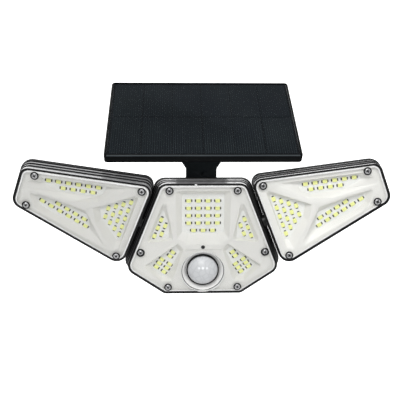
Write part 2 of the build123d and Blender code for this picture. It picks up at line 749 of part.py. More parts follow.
with BuildPart() as centre_led_set:
    with BuildSketch(FACE.offset(BOARD_TOP)):
        with Locations(*[Location((x, y), a) for x, y, a in centre_leds]):
            Rectangle(LED_L, LED_W)
    extrude(amount=-BOARD_TOP)
centre_led_set.part.label = "centre_leds"
export_step(centre_led_set.part, "parts/centre_leds.step")

with BuildPart() as centre_cover:
    pts, rr = centre_outline(-0.15)
    with BuildSketch(FACE.offset(COVER_BACK)):
        with BuildLine():
            FilletPolyline(*pts, radius=rr, close=True)
        make_face()
    extrude(amount=COVER_FRONT - COVER_BACK)
    with BuildSketch(FACE.offset(COVER_BACK)):
        with Locations(*CENTRE_SCREWS):
            Circle(1.6)
        with Locations((0, PIR_Y)):
            Circle(PIR_CONE_R + 0.4)
    extrude(amount=COVER_FRONT - COVER_BACK, mode=Mode.SUBTRACT)
    with BuildSketch(FACE.offset(COVER_FRONT - 0.8)):
        with Locations(*[p for p in CENTRE_SCREWS if p[1] < 0 and p[1] > -60]):
            Circle(3.1)
    extrude(amount=2.0, mode=Mode.SUBTRACT)
centre_cover.part.label = "centre_cover"
export_step(centre_cover.part, "parts/centre_cover.step")

with BuildPart() as centre_screws:
    with BuildSketch(FACE.offset(-6.8)):
        with Locations(*CENTRE_SCREWS):
            Circle(1.35)
    extrude(amount=COVER_FRONT - 0.8 + 6.8)
    with BuildSketch(FACE.offset(COVER_FRONT - 0.8)):
        with Locations(*[p for p in CENTRE_SCREWS if p[1] < 0 and p[1] > -60]):
            Circle(2.7)
    extrude(amount=1.4)
    with BuildSketch(FACE.offset(COVER_FRONT - 0.8)):
        with Locations(*[p for p in CENTRE_SCREWS if not (p[1] < 0 and p[1] > -60)]):
            Circle(1.35)
    extrude(amount=0.8)
    with BuildSketch(FACE.offset(COVER_FRONT)):
        with Locations(*[p for p in CENTRE_SCREWS if not (p[1] < 0 and p[1] > -60)]):
            Circle(2.7)
    extrude(amount=0.9)
    with BuildSketch(FACE.offset(COVER_FRONT + 0.1)):
        with Locations(*CENTRE_SCREWS):
            Rectangle(3.2, 0.7)
            Rectangle(0.7, 3.2)
    extrude(amount=1.5, mode=Mode.SUBTRACT)
centre_screws.part.label = "centre_screws"
export_step(centre_screws.part, "parts/centre_screws.step")

# motion sensor: ring, frosted dome and the sensor can under it
PIR_PLANE = Plane(origin=(0, LED_Y, LED_Z + PIR_Y), x_dir=(1, 0, 0), z_dir=(0, 0, 1))
PIR_AXIS = Axis((0, LED_Y, LED_Z + PIR_Y), (0, -1, 0))
BALL_R = (PIR_DOME_R**2 + (PIR_DOME_TOP - 1.6) ** 2) / (2 * (PIR_DOME_TOP - 1.6))
with BuildPart() as pir_ring:
    with BuildSketch(PIR_PLANE):
        with BuildLine():
            Polyline(
                (PIR_DOME_R + 0.1, -BOARD_TOP), (PIR_RING_R + 0.2, -BOARD_TOP),
                (PIR_RING_R, -2.2), (PIR_RING_R - 0.4, -2.7), (PIR_DOME_R + 0.1, -2.7),
                close=True,
            )
        make_face()
    revolve(axis=PIR_AXIS)
pir_ring.part.label = "pir_ring"
export_step(pir_ring.part, "parts/pir_ring.step")

with BuildPart() as pir_lens:
    with BuildSketch(PIR_PLANE):
        with BuildLine():
            Polyline((PIR_DOME_R - 0.9, -1.6), (PIR_DOME_R - 0.9, -BOARD_TOP), (PIR_DOME_R, -BOARD_TOP), (PIR_DOME_R, -1.6))
            RadiusArc((PIR_DOME_R, -1.6), (0, -PIR_DOME_TOP), BALL_R)
            Line((0, -PIR_DOME_TOP), (0, -PIR_DOME_TOP + 0.9))
            RadiusArc((0, -PIR_DOME_TOP + 0.9), (PIR_DOME_R - 0.9, -1.6), -(((PIR_DOME_R - 0.9) ** 2 + (PIR_DOME_TOP - 2.5) ** 2) / (2 * (PIR_DOME_TOP - 2.5))))
        make_face()
    revolve(axis=PIR_AXIS)
pir_lens.part.label = "pir_lens"
export_step(pir_lens.part, "parts/pir_lens.step")

with BuildPart() as pir_sensor:
    with BuildSketch(FACE.offset(BOARD_TOP)):
        with Locations((0, PIR_Y)):
            Circle(4.6)
    extrude(amount=0.6)
    with BuildSketch(FACE.offset(BOARD_TOP)):
        with Locations((0, PIR_Y)):
            Circle(4.1)
    extrude(amount=4.2)
    with BuildSketch(FACE.offset(BOARD_TOP + 4.0)):
        with Locations((0, PIR_Y)):
            Rectangle(4.0, 3.0)
    extrude(amount=1.0, mode=Mode.SUBTRACT)
pir_sensor.part.label = "pir_sensor"
export_step(pir_sensor.part, "parts/pir_sensor.step")

with BuildPart() as light_sensor:
    with BuildSketch(FACE.offset(BOARD_TOP)):
        with Locations((0, -35.8)):
            Circle(1.25)
    extrude(amount=1.9)
    fillet(light_sensor.faces().sort_by(Axis.Y)[0].edges(), 0.5)
light_sensor.part.label = "light_sensor"
export_step(light_sensor.part, "parts/light_sensor.step")

with BuildPart() as control_board:
    with BuildSketch(FACE.offset(-11.6)):
        with Locations((0, -34)):
            Rectangle(56, 44)
    extrude(amount=1.4)
    with BuildSketch(FACE.offset(-10.2)):
        with Locations((-16, -24)):
            Rectangle(9, 9)
        with Locations((12, -26)):
            Rectangle(6, 5)
        with Locations((4, -46)):
            Rectangle(7, 4)
    extrude(amount=2.4)
    with BuildSketch(FACE.offset(-10.2)):
        with Locations((20, -42), (-20, -44)):
            Circle(3.0)
    extrude(amount=5.4)
control_board.part.label = "control_board"
export_step(control_board.part, "parts/control_board.step")

with BuildPart() as battery_cells:
    with BuildSketch(Plane.YZ.offset(-32.5)):
        with Locations((LED_Y + 24.0, LED_Z - 26.0), (LED_Y + 24.0, LED_Z - 45.2)):
            Circle(9.2)
    extrude(amount=65.0)
battery_cells.part.label = "battery_cells"
export_step(battery_cells.part, "parts/battery_cells.step")

with BuildPart() as battery_holder:
    with BuildSketch(FACE.offset(BOX_BACK + 2.2)):
        with Locations((0, -35.6)):
            RectangleRounded(66.8, 37.6, 3.4)
    extrude(amount=1.0)
    with BuildSketch(FACE.offset(BOX_BACK + 3.0)):
        with Locations((32.95, -35.6), (-32.95, -35.6)):
            Rectangle(0.9, 30.0)
    extrude(amount=14.0)
    with BuildSketch(FACE.offset(BOX_BACK + 3.2)):
        with Locations((0, -35.6)):
            Rectangle(40.0, 0.6)
    extrude(amount=5.0)
battery_holder.part.label = "battery_holder"
export_step(battery_holder.part, "parts/battery_holder.step")

with BuildPart() as mode_button:
    with BuildSketch(FACE.offset(BOX_BACK - 2.4)):
        with Locations((24.0, -60.2)):
            Circle(4.4)
    extrude(amount=6.0)
    fillet(mode_button.faces().sort_by(Axis.Y)[-1].edges(), 0.9)
    with BuildSketch(FACE.offset(BOX_BACK + 2.5)):
        with Locations((24.0, -60.2)):
            Circle(5.0)
    extrude(amount=1.1)
mode_button.part.label = "mode_button"
export_step(mode_button.part, "parts/mode_button.step")

with BuildPart() as lamp_grommet:
    with BuildSketch(FACE.offset(BOX_BACK)):
        with Locations((-24.0, -60.2)):
            Circle(3.0)
    extrude(amount=2.2)
    with BuildSketch(FACE.offset(BOX_BACK - 2.2)):
        with Locations((-24.0, -60.2)):
            Circle(4.4)
    extrude(amount=2.2)
    with BuildSketch(FACE.offset(BOX_BACK - 3)):
        with Locations((-24.0, -60.2)):
            Circle(1.5)
    extrude(amount=6.0, mode=Mode.SUBTRACT)
lamp_grommet.part.label = "lamp_grommet"
export_step(lamp_grommet.part, "parts/lamp_grommet.step")

# ---------------------------------------------------------------------------
# Side heads: the same pieces, mirrored
# ---------------------------------------------------------------------------
for name, s, wing, shaft in (
    ("left", -1, WING_L, SHAFT_L),
    ("right", 1, WING_R, SHAFT_R_PLANE),
):
    screws = [(s * x, y) for x, y in WING_SCREWS]
    with BuildPart() as wing_housing:
        pts, rr = wing_outline(RIM, INNER_RIM, s, TOP_RIM)
        with BuildSketch(wing.offset(STEP_1)):
            with BuildLine():
                FilletPolyline(*pts, radius=rr, close=True)
            make_face()
        extrude(amount=RIM_TOP - STEP_1)
        pts, rr = wing_outline(GROW_1, INNER_RIM, s, TOP_GROW_1)
        with BuildSketch(wing.offset(STEP_2)):
            with BuildLine():
                FilletPolyline(*pts, radius=rr, close=True)
            make_face()
        extrude(amount=STEP_1 - STEP_2)
        pts, rr = wing_outline(GROW_2, INNER_RIM, s, TOP_GROW_2)
        with BuildSketch(wing.offset(STEP_3)):
            with BuildLine():
                FilletPolyline(*pts, radius=rr, close=True)
            make_face()
        extrude(amount=STEP_2 - STEP_3)
        pts, rr = wing_outline(GROW_3, INNER_RIM, s, TOP_GROW_3)
        with BuildSketch(wing.offset(SHOULDER)):
            with BuildLine():
                FilletPolyline(*pts, radius=rr, close=True)
            make_face()
        extrude(amount=STEP_3 - SHOULDER)
        with BuildSketch(wing.offset(SHOULDER)):
            with BuildLine():
                FilletPolyline(*pts, radius=rr, close=True)
            make_face()
        pts, rr = wing_outline(BACK_IN, BACK_IN, s)
        with BuildSketch(wing.offset(BACK)):
            with BuildLine():
                FilletPolyline(*pts, radius=rr, close=True)
            make_face()
        loft(ruled=True)
        # seat, throat and hollow
        pts, rr = wing_outline(0.0, 0.0, s)
        with BuildSketch(wing.offset(LEDGE)):
            with BuildLine():
                FilletPolyline(*pts, radius=rr, close=True)
            make_face()
        extrude(amount=RIM_TOP - LEDGE + 1, mode=Mode.SUBTRACT)
        pts, rr = wing_outline(-1.8, -1.8, s)
        with BuildSketch(wing.offset(-2.0)):
            with BuildLine():
                FilletPolyline(*pts, radius=rr, close=True)
            make_face()
        extrude(amount=LEDGE + 2.5, mode=Mode.SUBTRACT)
        pts, rr = wing_outline(HOLLOW, -0.8, s)
        with BuildSketch(wing.offset(SHOULDER)):
            with BuildLine():
                FilletPolyline(*pts, radius=rr, close=True)
            make_face()
        extrude(amount=-2.0 - SHOULDER, mode=Mode.SUBTRACT)
        pts, rr = wing_outline(HOLLOW - 0.1, -0.8, s)
        with BuildSketch(wing.offset(SHOULDER)):
            with BuildLine():
                FilletPolyline(*pts, radius=rr, close=True)
            make_face()
        pts, rr = wing_outline(-3.4, -3.4, s)
        with BuildSketch(wing.offset(INNER_FLOOR)):
            with BuildLine():
                FilletPolyline(*pts, radius=rr, close=True)
            make_face()
        loft(ruled=True, mode=Mode.SUBTRACT)
        # screw bosses
        with BuildSketch(wing.offset(-11.0)):
            with Locations(*screws):
                Circle(3.0)
        extrude(amount=LEDGE + 11.0)
        with BuildSketch(wing.offset(-8.0)):
            with Locations(*screws):
                Circle(1.4)
        extrude(amount=LEDGE + 9.0, mode=Mode.SUBTRACT)
        # shaft bore and the seat of its flange
        with BuildSketch(shaft.offset(1.0)):
            Circle(SHAFT_R + 0.02)
        extrude(amount=6.0, mode=Mode.SUBTRACT)
        with BuildSketch(shaft.offset(6.74 - 2.74)):
            Circle(6.0)
        extrude(amount=3.0, mode=Mode.SUBTRACT)
    wing_housing.part.label = name + "_housing"
    export_step(wing_housing.part, "parts/" + name + "_housing.step")

    with BuildPart() as wing_gasket:
        pts, rr = wing_outline(-0.1, -0.1, s)
        with BuildSketch(wing.offset(LEDGE)):
            with BuildLine():
                FilletPolyline(*pts, radius=rr, close=True)
            make_face()
        extrude(amount=GASKET_TOP - LEDGE)
        pts, rr = wing_outline(-1.7, -1.7, s)
        with BuildSketch(wing.offset(LEDGE)):
            with BuildLine():
                FilletPolyline(*pts, radius=rr, close=True)
            make_face()
        extrude(amount=GASKET_TOP - LEDGE, mode=Mode.SUBTRACT)
        with BuildSketch(wing.offset(LEDGE)):
            with Locations(*screws):
                Circle(1.8)
        extrude(amount=GASKET_TOP - LEDGE, mode=Mode.SUBTRACT)
    wing_gasket.part.label = name + "_gasket"
    export_step(wing_gasket.part, "parts/" + name + "_gasket.step")

    with BuildPart() as wing_reflector:
        pts, rr = wing_outline(-0.15, -0.15, s)
        with BuildSketch(wing.offset(GASKET_TOP)):
            with BuildLine():
                FilletPolyline(*pts, radius=rr, close=True)
            make_face()
        extrude(amount=COVER_BACK - GASKET_TOP)
        pts, rr = wing_outline(-2.1, -4.2, s)
        with BuildSketch(wing.offset(BOARD_TOP)):
            with BuildLine():
                FilletPolyline(*pts, radius=rr, close=True)
            make_face()
        extrude(amount=GASKET_TOP - BOARD_TOP)
        with BuildSketch(wing.offset(BOARD_TOP)):
            with Locations(*screws):
                Circle(3.3)
        extrude(amount=LEDGE - BOARD_TOP + 0.1, mode=Mode.SUBTRACT)
        with BuildSketch(wing.offset(BOARD_TOP)):
            with Locations(*screws):
                Circle(1.7)
        extrude(amount=5.0, mode=Mode.SUBTRACT)
        for front, back in WING_POCKETS:
            with BuildSketch(wing.offset(COVER_BACK)):
                Polygon(*[(s * x, y) for x, y in front], align=None)
            with BuildSketch(wing.offset(BOARD_TOP)):
                Polygon(*[(s * x, y) for x, y in back], align=None)
            loft(ruled=True, mode=Mode.SUBTRACT)
    wing_reflector.part.label = name + "_reflector"
    export_step(wing_reflector.part, "parts/" + name + "_reflector.step")

    with BuildPart() as wing_led_board:
        pts, rr = wing_outline(-3.0, -4.5, s)
        with BuildSketch(wing.offset(BOARD_BACK)):
            with BuildLine():
                FilletPolyline(*pts, radius=rr, close=True)
            make_face()
        extrude(amount=BOARD_TOP - BOARD_BACK)
        with BuildSketch(wing.offset(BOARD_BACK)):
            with Locations(*screws):
                Circle(3.4)
        extrude(amount=BOARD_TOP - BOARD_BACK, mode=Mode.SUBTRACT)
    wing_led_board.part.label = name + "_led_board"
    export_step(wing_led_board.part, "parts/" + name + "_led_board.step")

    with BuildPart() as wing_led_set:
        with BuildSketch(wing.offset(BOARD_TOP)):
            with Locations(*[Location((s * x, y), s * a) for x, y, a in wing_leds]):
                Rectangle(LED_L, LED_W)
        extrude(amount=-BOARD_TOP)
    wing_led_set.part.label = name + "_leds"
    export_step(wing_led_set.part, "parts/" + name + "_leds.step")

    with BuildPart() as wing_cover:
        pts, rr = wing_outline(-0.15, -0.15, s)
        with BuildSketch(wing.offset(COVER_BACK)):
            with BuildLine():
                FilletPolyline(*pts, radius=rr, close=True)
            make_face()
        extrude(amount=COVER_FRONT - COVER_BACK)
        with BuildSketch(wing.offset(COVER_BACK)):
            with Locations(*screws):
                Circle(1.6)
        extrude(amount=COVER_FRONT - COVER_BACK, mode=Mode.SUBTRACT)
    wing_cover.part.label = name + "_cover"
    export_step(wing_cover.part, "parts/" + name + "_cover.step")

    with BuildPart() as wing_screws:
        with BuildSketch(wing.offset(-6.8)):
            with Locations(*screws):
                Circle(1.35)
        extrude(amount=COVER_FRONT + 6.8)
        with BuildSketch(wing.offset(COVER_FRONT)):
            with Locations(*screws):
                Circle(2.7)
        extrude(amount=0.9)
        with BuildSketch(wing.offset(COVER_FRONT + 0.1)):
            with Locations(*screws):
                Rectangle(3.2, 0.7)
                Rectangle(0.7, 3.2)
        extrude(amount=1.5, mode=Mode.SUBTRACT)
    wing_screws.part.label = name + "_screws"
    export_step(wing_screws.part, "parts/" + name + "_screws.step")

    # hollow shaft with a flange inside the side head, and the clip that
    # keeps its other end in the centre head
    with BuildPart() as wing_shaft:
        with BuildSketch(shaft.offset(-4.3 - 2.74)):
            Circle(SHAFT_R)
            Circle(WIRE_R, mode=Mode.SUBTRACT)
        extrude(amount=4.3 + 9.3)
        with BuildSketch(shaft.offset(6.74 - 2.74)):
            Circle(5.9)
            Circle(WIRE_R, mode=Mode.SUBTRACT)
        extrude(amount=1.6)
    wing_shaft.part.label = name + "_shaft"
    export_step(wing_shaft.part, "parts/" + name + "_shaft.step")

    with BuildPart() as shaft_clip:
        with BuildSketch(shaft.offset(-3.5 - 2.74)):
            Circle(5.6)
            Circle(SHAFT_R, mode=Mode.SUBTRACT)
        extrude(amount=1.4)
    shaft_clip.part.label = name + "_shaft_clip"
    export_step(shaft_clip.part, "parts/" + name + "_shaft_clip.step")
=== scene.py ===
from math import sin, cos, tan, radians, atan2, hypot, pi, sqrt

import bpy
import bmesh
from mathutils import Vector, Matrix
from mathutils.geometry import tessellate_polygon


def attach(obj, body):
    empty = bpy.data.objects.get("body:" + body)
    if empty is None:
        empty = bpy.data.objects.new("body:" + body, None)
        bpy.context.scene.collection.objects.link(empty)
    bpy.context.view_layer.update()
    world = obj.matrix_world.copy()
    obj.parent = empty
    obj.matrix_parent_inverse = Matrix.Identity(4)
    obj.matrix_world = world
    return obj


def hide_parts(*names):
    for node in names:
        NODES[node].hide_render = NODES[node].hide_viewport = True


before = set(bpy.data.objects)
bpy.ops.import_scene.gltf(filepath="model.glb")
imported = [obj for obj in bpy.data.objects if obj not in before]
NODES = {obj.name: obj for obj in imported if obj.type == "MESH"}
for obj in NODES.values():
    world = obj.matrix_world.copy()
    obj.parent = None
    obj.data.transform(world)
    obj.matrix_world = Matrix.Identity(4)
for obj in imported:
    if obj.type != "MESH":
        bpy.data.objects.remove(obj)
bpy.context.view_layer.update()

scene = bpy.context.scene

# ---------------------------------------------------------------------------
# Camera: placed in the centre head's face coordinates (x right, y up, z out),
# which sit at row (x, -82 - z, 26 + y) millimetres.
# ---------------------------------------------------------------------------
ROW_R, ROW_P, ROW_Y = radians(-0.47), radians(17.52), radians(2.38)
rot = (
    Matrix.Rotation(ROW_R, 3, "Z") @ Matrix.Rotation(ROW_P, 3, "X") @ Matrix.Rotation(ROW_Y, 3, "Y")
)


def to_row(v):
    return Vector((v[0], -v[2], v[1]))


cam_data = bpy.data.cameras.new("camera")
cam_data.lens = 54.0
cam_data.sensor_width = 36.0
cam_data.sensor_fit = "HORIZONTAL"
cam_data.clip_start = 0.02
cam_data.clip_end = 50.0
cam = bpy.data.objects.new("camera", cam_data)
scene.collection.objects.link(cam)
right, up, back = (to_row(rot[i]) for i in range(3))
eye = rot.transposed() @ Vector((-2.44, 0.68, 445.96))
eye_row = Vector((eye.x, -82.0 - eye.z, 26.0 + eye.y)) / 1000.0
m = Matrix.Identity(4)
for i in range(3):
    m[i][0], m[i][1], m[i][2], m[i][3] = right[i], up[i], back[i], eye_row[i]
cam.matrix_world = m
scene.camera = cam

# ---------------------------------------------------------------------------
# Studio: pale sweep, soft world, soft lights
# ---------------------------------------------------------------------------
scene.view_settings.view_transform = "Standard"
scene.view_settings.look = "None"
scene.view_settings.exposure = 0.0
scene.view_settings.gamma = 1.0

world = bpy.data.worlds.new("studio")
scene.world = world
world.use_nodes = True
world.node_tree.nodes["Background"].inputs["Color"].default_value = (0.98, 0.99, 1.0, 1.0)
world.node_tree.nodes["Background"].inputs["Strength"].default_value = 0.5


def area(name, at, to, size, power, colour=(1, 1, 1)):
    data = bpy.data.lights.new(name, "AREA")
    data.shape = "RECTANGLE"
    data.size, data.size_y = size
    data.energy = power
    data.color = colour
    o = bpy.data.objects.new(name, data)
    scene.collection.objects.link(o)
    o.location = at
    o.rotation_euler = (Vector(to) - Vector(at)).to_track_quat("-Z", "Y").to_euler()
    return o


area("key", (-0.2, -0.75, 0.95), (0, -0.08, 0.0), (0.9, 0.5), 10.1)
area("fill", (0.9, -0.8, 0.35), (0, -0.08, 0.0), (0.7, 0.6), 2.2)
back_light = area("back", (0, 1.15, 0.85), (0, -0.08, 0.0), (2.2, 0.9), 6.0)
back_light.visible_camera = False


# ---------------------------------------------------------------------------
# Materials
# ---------------------------------------------------------------------------
def material(
    name, colour, rough=0.5, spec=0.5, metal=0.0, coat=0.0, coat_rough=0.1, alpha=1.0, ior=1.5,
    tint=0.08, tint_scale=40.0, rough_spread=0.06, grain=0.0, grain_scale=900.0, sheen=0.0, wave=None,
):
    """Principled surface whose colour and roughness wander a little and whose grain is a fine bump."""
    mat = bpy.data.materials.new(name)
    mat.use_nodes = True
    nt = mat.node_tree
    b = nt.nodes["Principled BSDF"]
    b.inputs["Metallic"].default_value = metal
    b.inputs["IOR"].default_value = ior
    b.inputs["Specular IOR Level"].default_value = spec
    b.inputs["Coat Weight"].default_value = coat
    b.inputs["Coat Roughness"].default_value = coat_rough
    b.inputs["Alpha"].default_value = alpha
    b.inputs["Sheen Weight"].default_value = sheen
    pos = nt.nodes.new("ShaderNodeTexCoord")
    noise = nt.nodes.new("ShaderNodeTexNoise")
    noise.inputs["Scale"].default_value = tint_scale
    noise.inputs["Detail"].default_value = 4.0
    nt.links.new(pos.outputs["Object"], noise.inputs["Vector"])
    ramp = nt.nodes.new("ShaderNodeValToRGB")
    lo = [c * (1 - tint) for c in colour]
    hi = [min(1.0, c * (1 + tint)) for c in colour]
    ramp.color_ramp.elements[0].position, ramp.color_ramp.elements[1].position = 0.3, 0.7
    ramp.color_ramp.elements[0].color = (*lo, 1)
    ramp.color_ramp.elements[1].color = (*hi, 1)
    nt.links.new(noise.outputs["Fac"], ramp.inputs["Fac"])
    nt.links.new(ramp.outputs["Color"], b.inputs["Base Color"])
    spread = nt.nodes.new("ShaderNodeMapRange")
    spread.inputs["From Min"].default_value, spread.inputs["From Max"].default_value = 0.3, 0.7
    spread.inputs["To Min"].default_value = max(0.02, rough - rough_spread)
    spread.inputs["To Max"].default_value = min(1.0, rough + rough_spread)
    nt.links.new(noise.outputs["Fac"], spread.inputs["Value"])
    nt.links.new(spread.outputs["Result"], b.inputs["Roughness"])
    if grain:
        fine = nt.nodes.new("ShaderNodeTexNoise")
        fine.inputs["Scale"].default_value = grain_scale
        fine.inputs["Detail"].default_value = 2.0
        nt.links.new(pos.outputs["Object"], fine.inputs["Vector"])
        bump = nt.nodes.new("ShaderNodeBump")
        bump.inputs["Strength"].default_value = grain
        bump.inputs["Distance"].default_value = 0.0002
        nt.links.new(fine.outputs["Fac"], bump.inputs["Height"])
        nt.links.new(bump.outputs["Normal"], b.inputs["Normal"])
    mat["kit"] = 1
    return mat


M = {}
M["head"] = material("head_gloss", (0.006, 0.006, 0.0063), rough=0.34, spec=0.2, coat=0.05, coat_rough=0.15, tint=0.15, grain=0.03, grain_scale=1500)
# the step walls of the black housing are a lighter grey copy of it: painted sheen standing in for the light bands
# their reflections make
M["wall"] = material("head_side_painted_sheen", (0.26, 0.26, 0.265), rough=0.2, spec=1.0, coat=1.0, coat_rough=0.12, tint=0.2, tint_scale=90, grain=0.03, grain_scale=1500)
# where the step walls face the next head they are kept darker: painted shade in the gap between heads
M["gap"] = material("head_gap_side_painted_shade", (0.045, 0.046, 0.05), rough=0.4, spec=0.3, tint=0.25, tint_scale=120, grain=0.1, grain_scale=1500)
M["shell"] = material("head_back_matte", (0.004, 0.004, 0.0043), rough=0.6, spec=0.03, tint=0.2, grain=0.3, grain_scale=1400)
M["bracket"] = material("bracket_matte", (0.031, 0.038, 0.043), rough=0.46, spec=0.25, tint=0.14, grain=0.35, grain_scale=1300)
M["panel"] = material("panel_frame_matte", (0.0022, 0.0027, 0.0032), rough=0.4, spec=0.05, tint=0.14, grain=0.25, grain_scale=1400)
# lighter grey strip on the panel's eased front edge: painted highlight
M["panel_edge"] = material("panel_front_edge_painted_highlight", (0.035, 0.043, 0.048), rough=0.35, spec=0.3, tint=0.1, grain=0.1, grain_scale=1400)
M["white"] = material("reflector_white", (0.84, 0.835, 0.815), rough=0.4, spec=0.5, coat=0.04, coat_rough=0.2, tint=0.012, tint_scale=25, grain=0.04, grain_scale=500)
# a slightly darker copy of the reflector white for the sensor cone and the crease walls: painted shade in recesses
M["cone"] = material("recess_white_painted_shade", (0.78, 0.775, 0.76), rough=0.4, spec=0.4, tint=0.04, tint_scale=60, grain=0.05, grain_scale=700)
# near-black lining of the narrow groove round the sensor cone: painted shade
M["groove"] = material("groove_painted_shade", (0.09, 0.09, 0.088), rough=0.5, spec=0.3, tint=0.1, tint_scale=120)
M["board"] = material("board_white", (0.88, 0.885, 0.87), rough=0.38, spec=0.5, tint=0.02, tint_scale=200, grain=0.08, grain_scale=2200)
M["package"] = material("led_package", (0.86, 0.865, 0.84), rough=0.3, spec=0.5, tint=0.02, tint_scale=600)
M["phosphor"] = material("led_phosphor", (0.93, 0.99, 0.36), rough=0.24, spec=0.5, coat=0.5, coat_rough=0.08, tint=0.07, tint_scale=900)
M["solder"] = material("led_pads", (0.045, 0.045, 0.044), rough=0.4, spec=0.4, metal=0.2, tint=0.25, tint_scale=900)
M["steel"] = material("screw_steel", (0.48, 0.48, 0.485), rough=0.3, metal=1.0, tint=0.12, tint_scale=300, grain=0.12, grain_scale=2500)
M["bolt"] = material("bolt_steel", (0.50, 0.50, 0.51), rough=0.34, metal=1.0, tint=0.1, tint_scale=200, grain=0.1, grain_scale=1800)
# rubber for gaskets and grommets; on the screws the same dark colour is painted shade in the cross recesses and round
# the heads
M["rubber_and_painted_shade"] = material("rubber_and_painted_shade", (0.009, 0.009, 0.0095), rough=0.62, spec=0.3, tint=0.15, grain=0.3, grain_scale=1500)
M["button"] = material("button_rubber", (0.035, 0.035, 0.037), rough=0.55, spec=0.35, tint=0.12, grain=0.25, grain_scale=1600)
M["ring"] = material("sensor_ring", (0.005, 0.005, 0.005), rough=0.25, spec=0.3, tint=0.2)
M["can"] = material("sensor_can", (0.55, 0.54, 0.50), rough=0.25, metal=1.0, tint=0.1, tint_scale=300)
M["window"] = material("sensor_window", (0.03, 0.02, 0.03), rough=0.15, spec=0.5, tint=0.2)
M["green"] = material("circuit_green", (0.02, 0.11, 0.045), rough=0.35, spec=0.5, tint=0.25, tint_scale=150)
M["cell_sleeve"] = material("cell_sleeve", (0.03, 0.09, 0.26), rough=0.28, spec=0.5, tint=0.1)
M["holder"] = material("holder_black", (0.012, 0.012, 0.012), rough=0.5, spec=0.4, tint=0.15, grain=0.2)
M["nylon"] = material("shaft_nylon", (0.014, 0.014, 0.0145), rough=0.4, spec=0.4, tint=0.15, grain=0.15)
M["clip"] = material("clip_steel", (0.42, 0.42, 0.43), rough=0.3, metal=1.0, tint=0.1)
M["photocell"] = material("photo_cell", (0.004, 0.004, 0.004), rough=0.5, spec=0.08, tint=0.2)
M["backsheet"] = material("backsheet", (0.0042, 0.0056, 0.0068), rough=0.55, spec=0.1, tint=0.1)


def clear(name, tint, haze, rough, layer, body=0.86):
    """Clear moulded plastic: mostly see-through, glossier at grazing angles, with a little haze."""
    mat = bpy.data.materials.new(name)
    mat.use_nodes = True
    nt = mat.node_tree
    nt.nodes.remove(nt.nodes["Principled BSDF"])
    out = nt.nodes["Material Output"]
    see = nt.nodes.new("ShaderNodeBsdfTransparent")
    see.inputs["Color"].default_value = (*tint, 1)
    gloss = nt.nodes.new("ShaderNodeBsdfPrincipled")
    gloss.inputs["Roughness"].default_value = rough
    gloss.inputs["Base Color"].default_value = (body, body, body * 0.99, 1)
    gloss.inputs["Specular IOR Level"].default_value = 0.5
    edge = nt.nodes.new("ShaderNodeLayerWeight")
    edge.inputs["Blend"].default_value = layer
    pos = nt.nodes.new("ShaderNodeTexCoord")
    noise = nt.nodes.new("ShaderNodeTexNoise")
    noise.inputs["Scale"].default_value = 60
    nt.links.new(pos.outputs["Object"], noise.inputs["Vector"])
    spread = nt.nodes.new("ShaderNodeMapRange")
    spread.inputs["To Min"].default_value = haze * 0.7
    spread.inputs["To Max"].default_value = haze * 1.3
    nt.links.new(noise.outputs["Fac"], spread.inputs["Value"])
    top = nt.nodes.new("ShaderNodeMath")
    top.operation = "ADD"
    top.use_clamp = True
    nt.links.new(edge.outputs["Fresnel"], top.inputs[0])
    nt.links.new(spread.outputs["Result"], top.inputs[1])
    mix = nt.nodes.new("ShaderNodeMixShader")
    nt.links.new(top.outputs[0], mix.inputs["Fac"])
    nt.links.new(see.outputs[0], mix.inputs[1])
    nt.links.new(gloss.outputs[0], mix.inputs[2])
    nt.links.new(mix.outputs[0], out.inputs["Surface"])
    return mat


M["cover"] = clear("cover_clear", (0.985, 0.985, 0.98), 0.015, 0.06, 0.12, 0.8)
# heavy white haze on the cover's edges, hole walls and tab: painted highlight for the bright lines along the clear
# edges
M["cover_edge_highlight"] = clear("cover_edge_highlight", (0.99, 0.99, 0.99), 0.75, 0.12, 0.3)
M["glaze"] = clear("panel_glaze", (0.96, 0.97, 0.98), 0.0015, 0.16, 0.02)


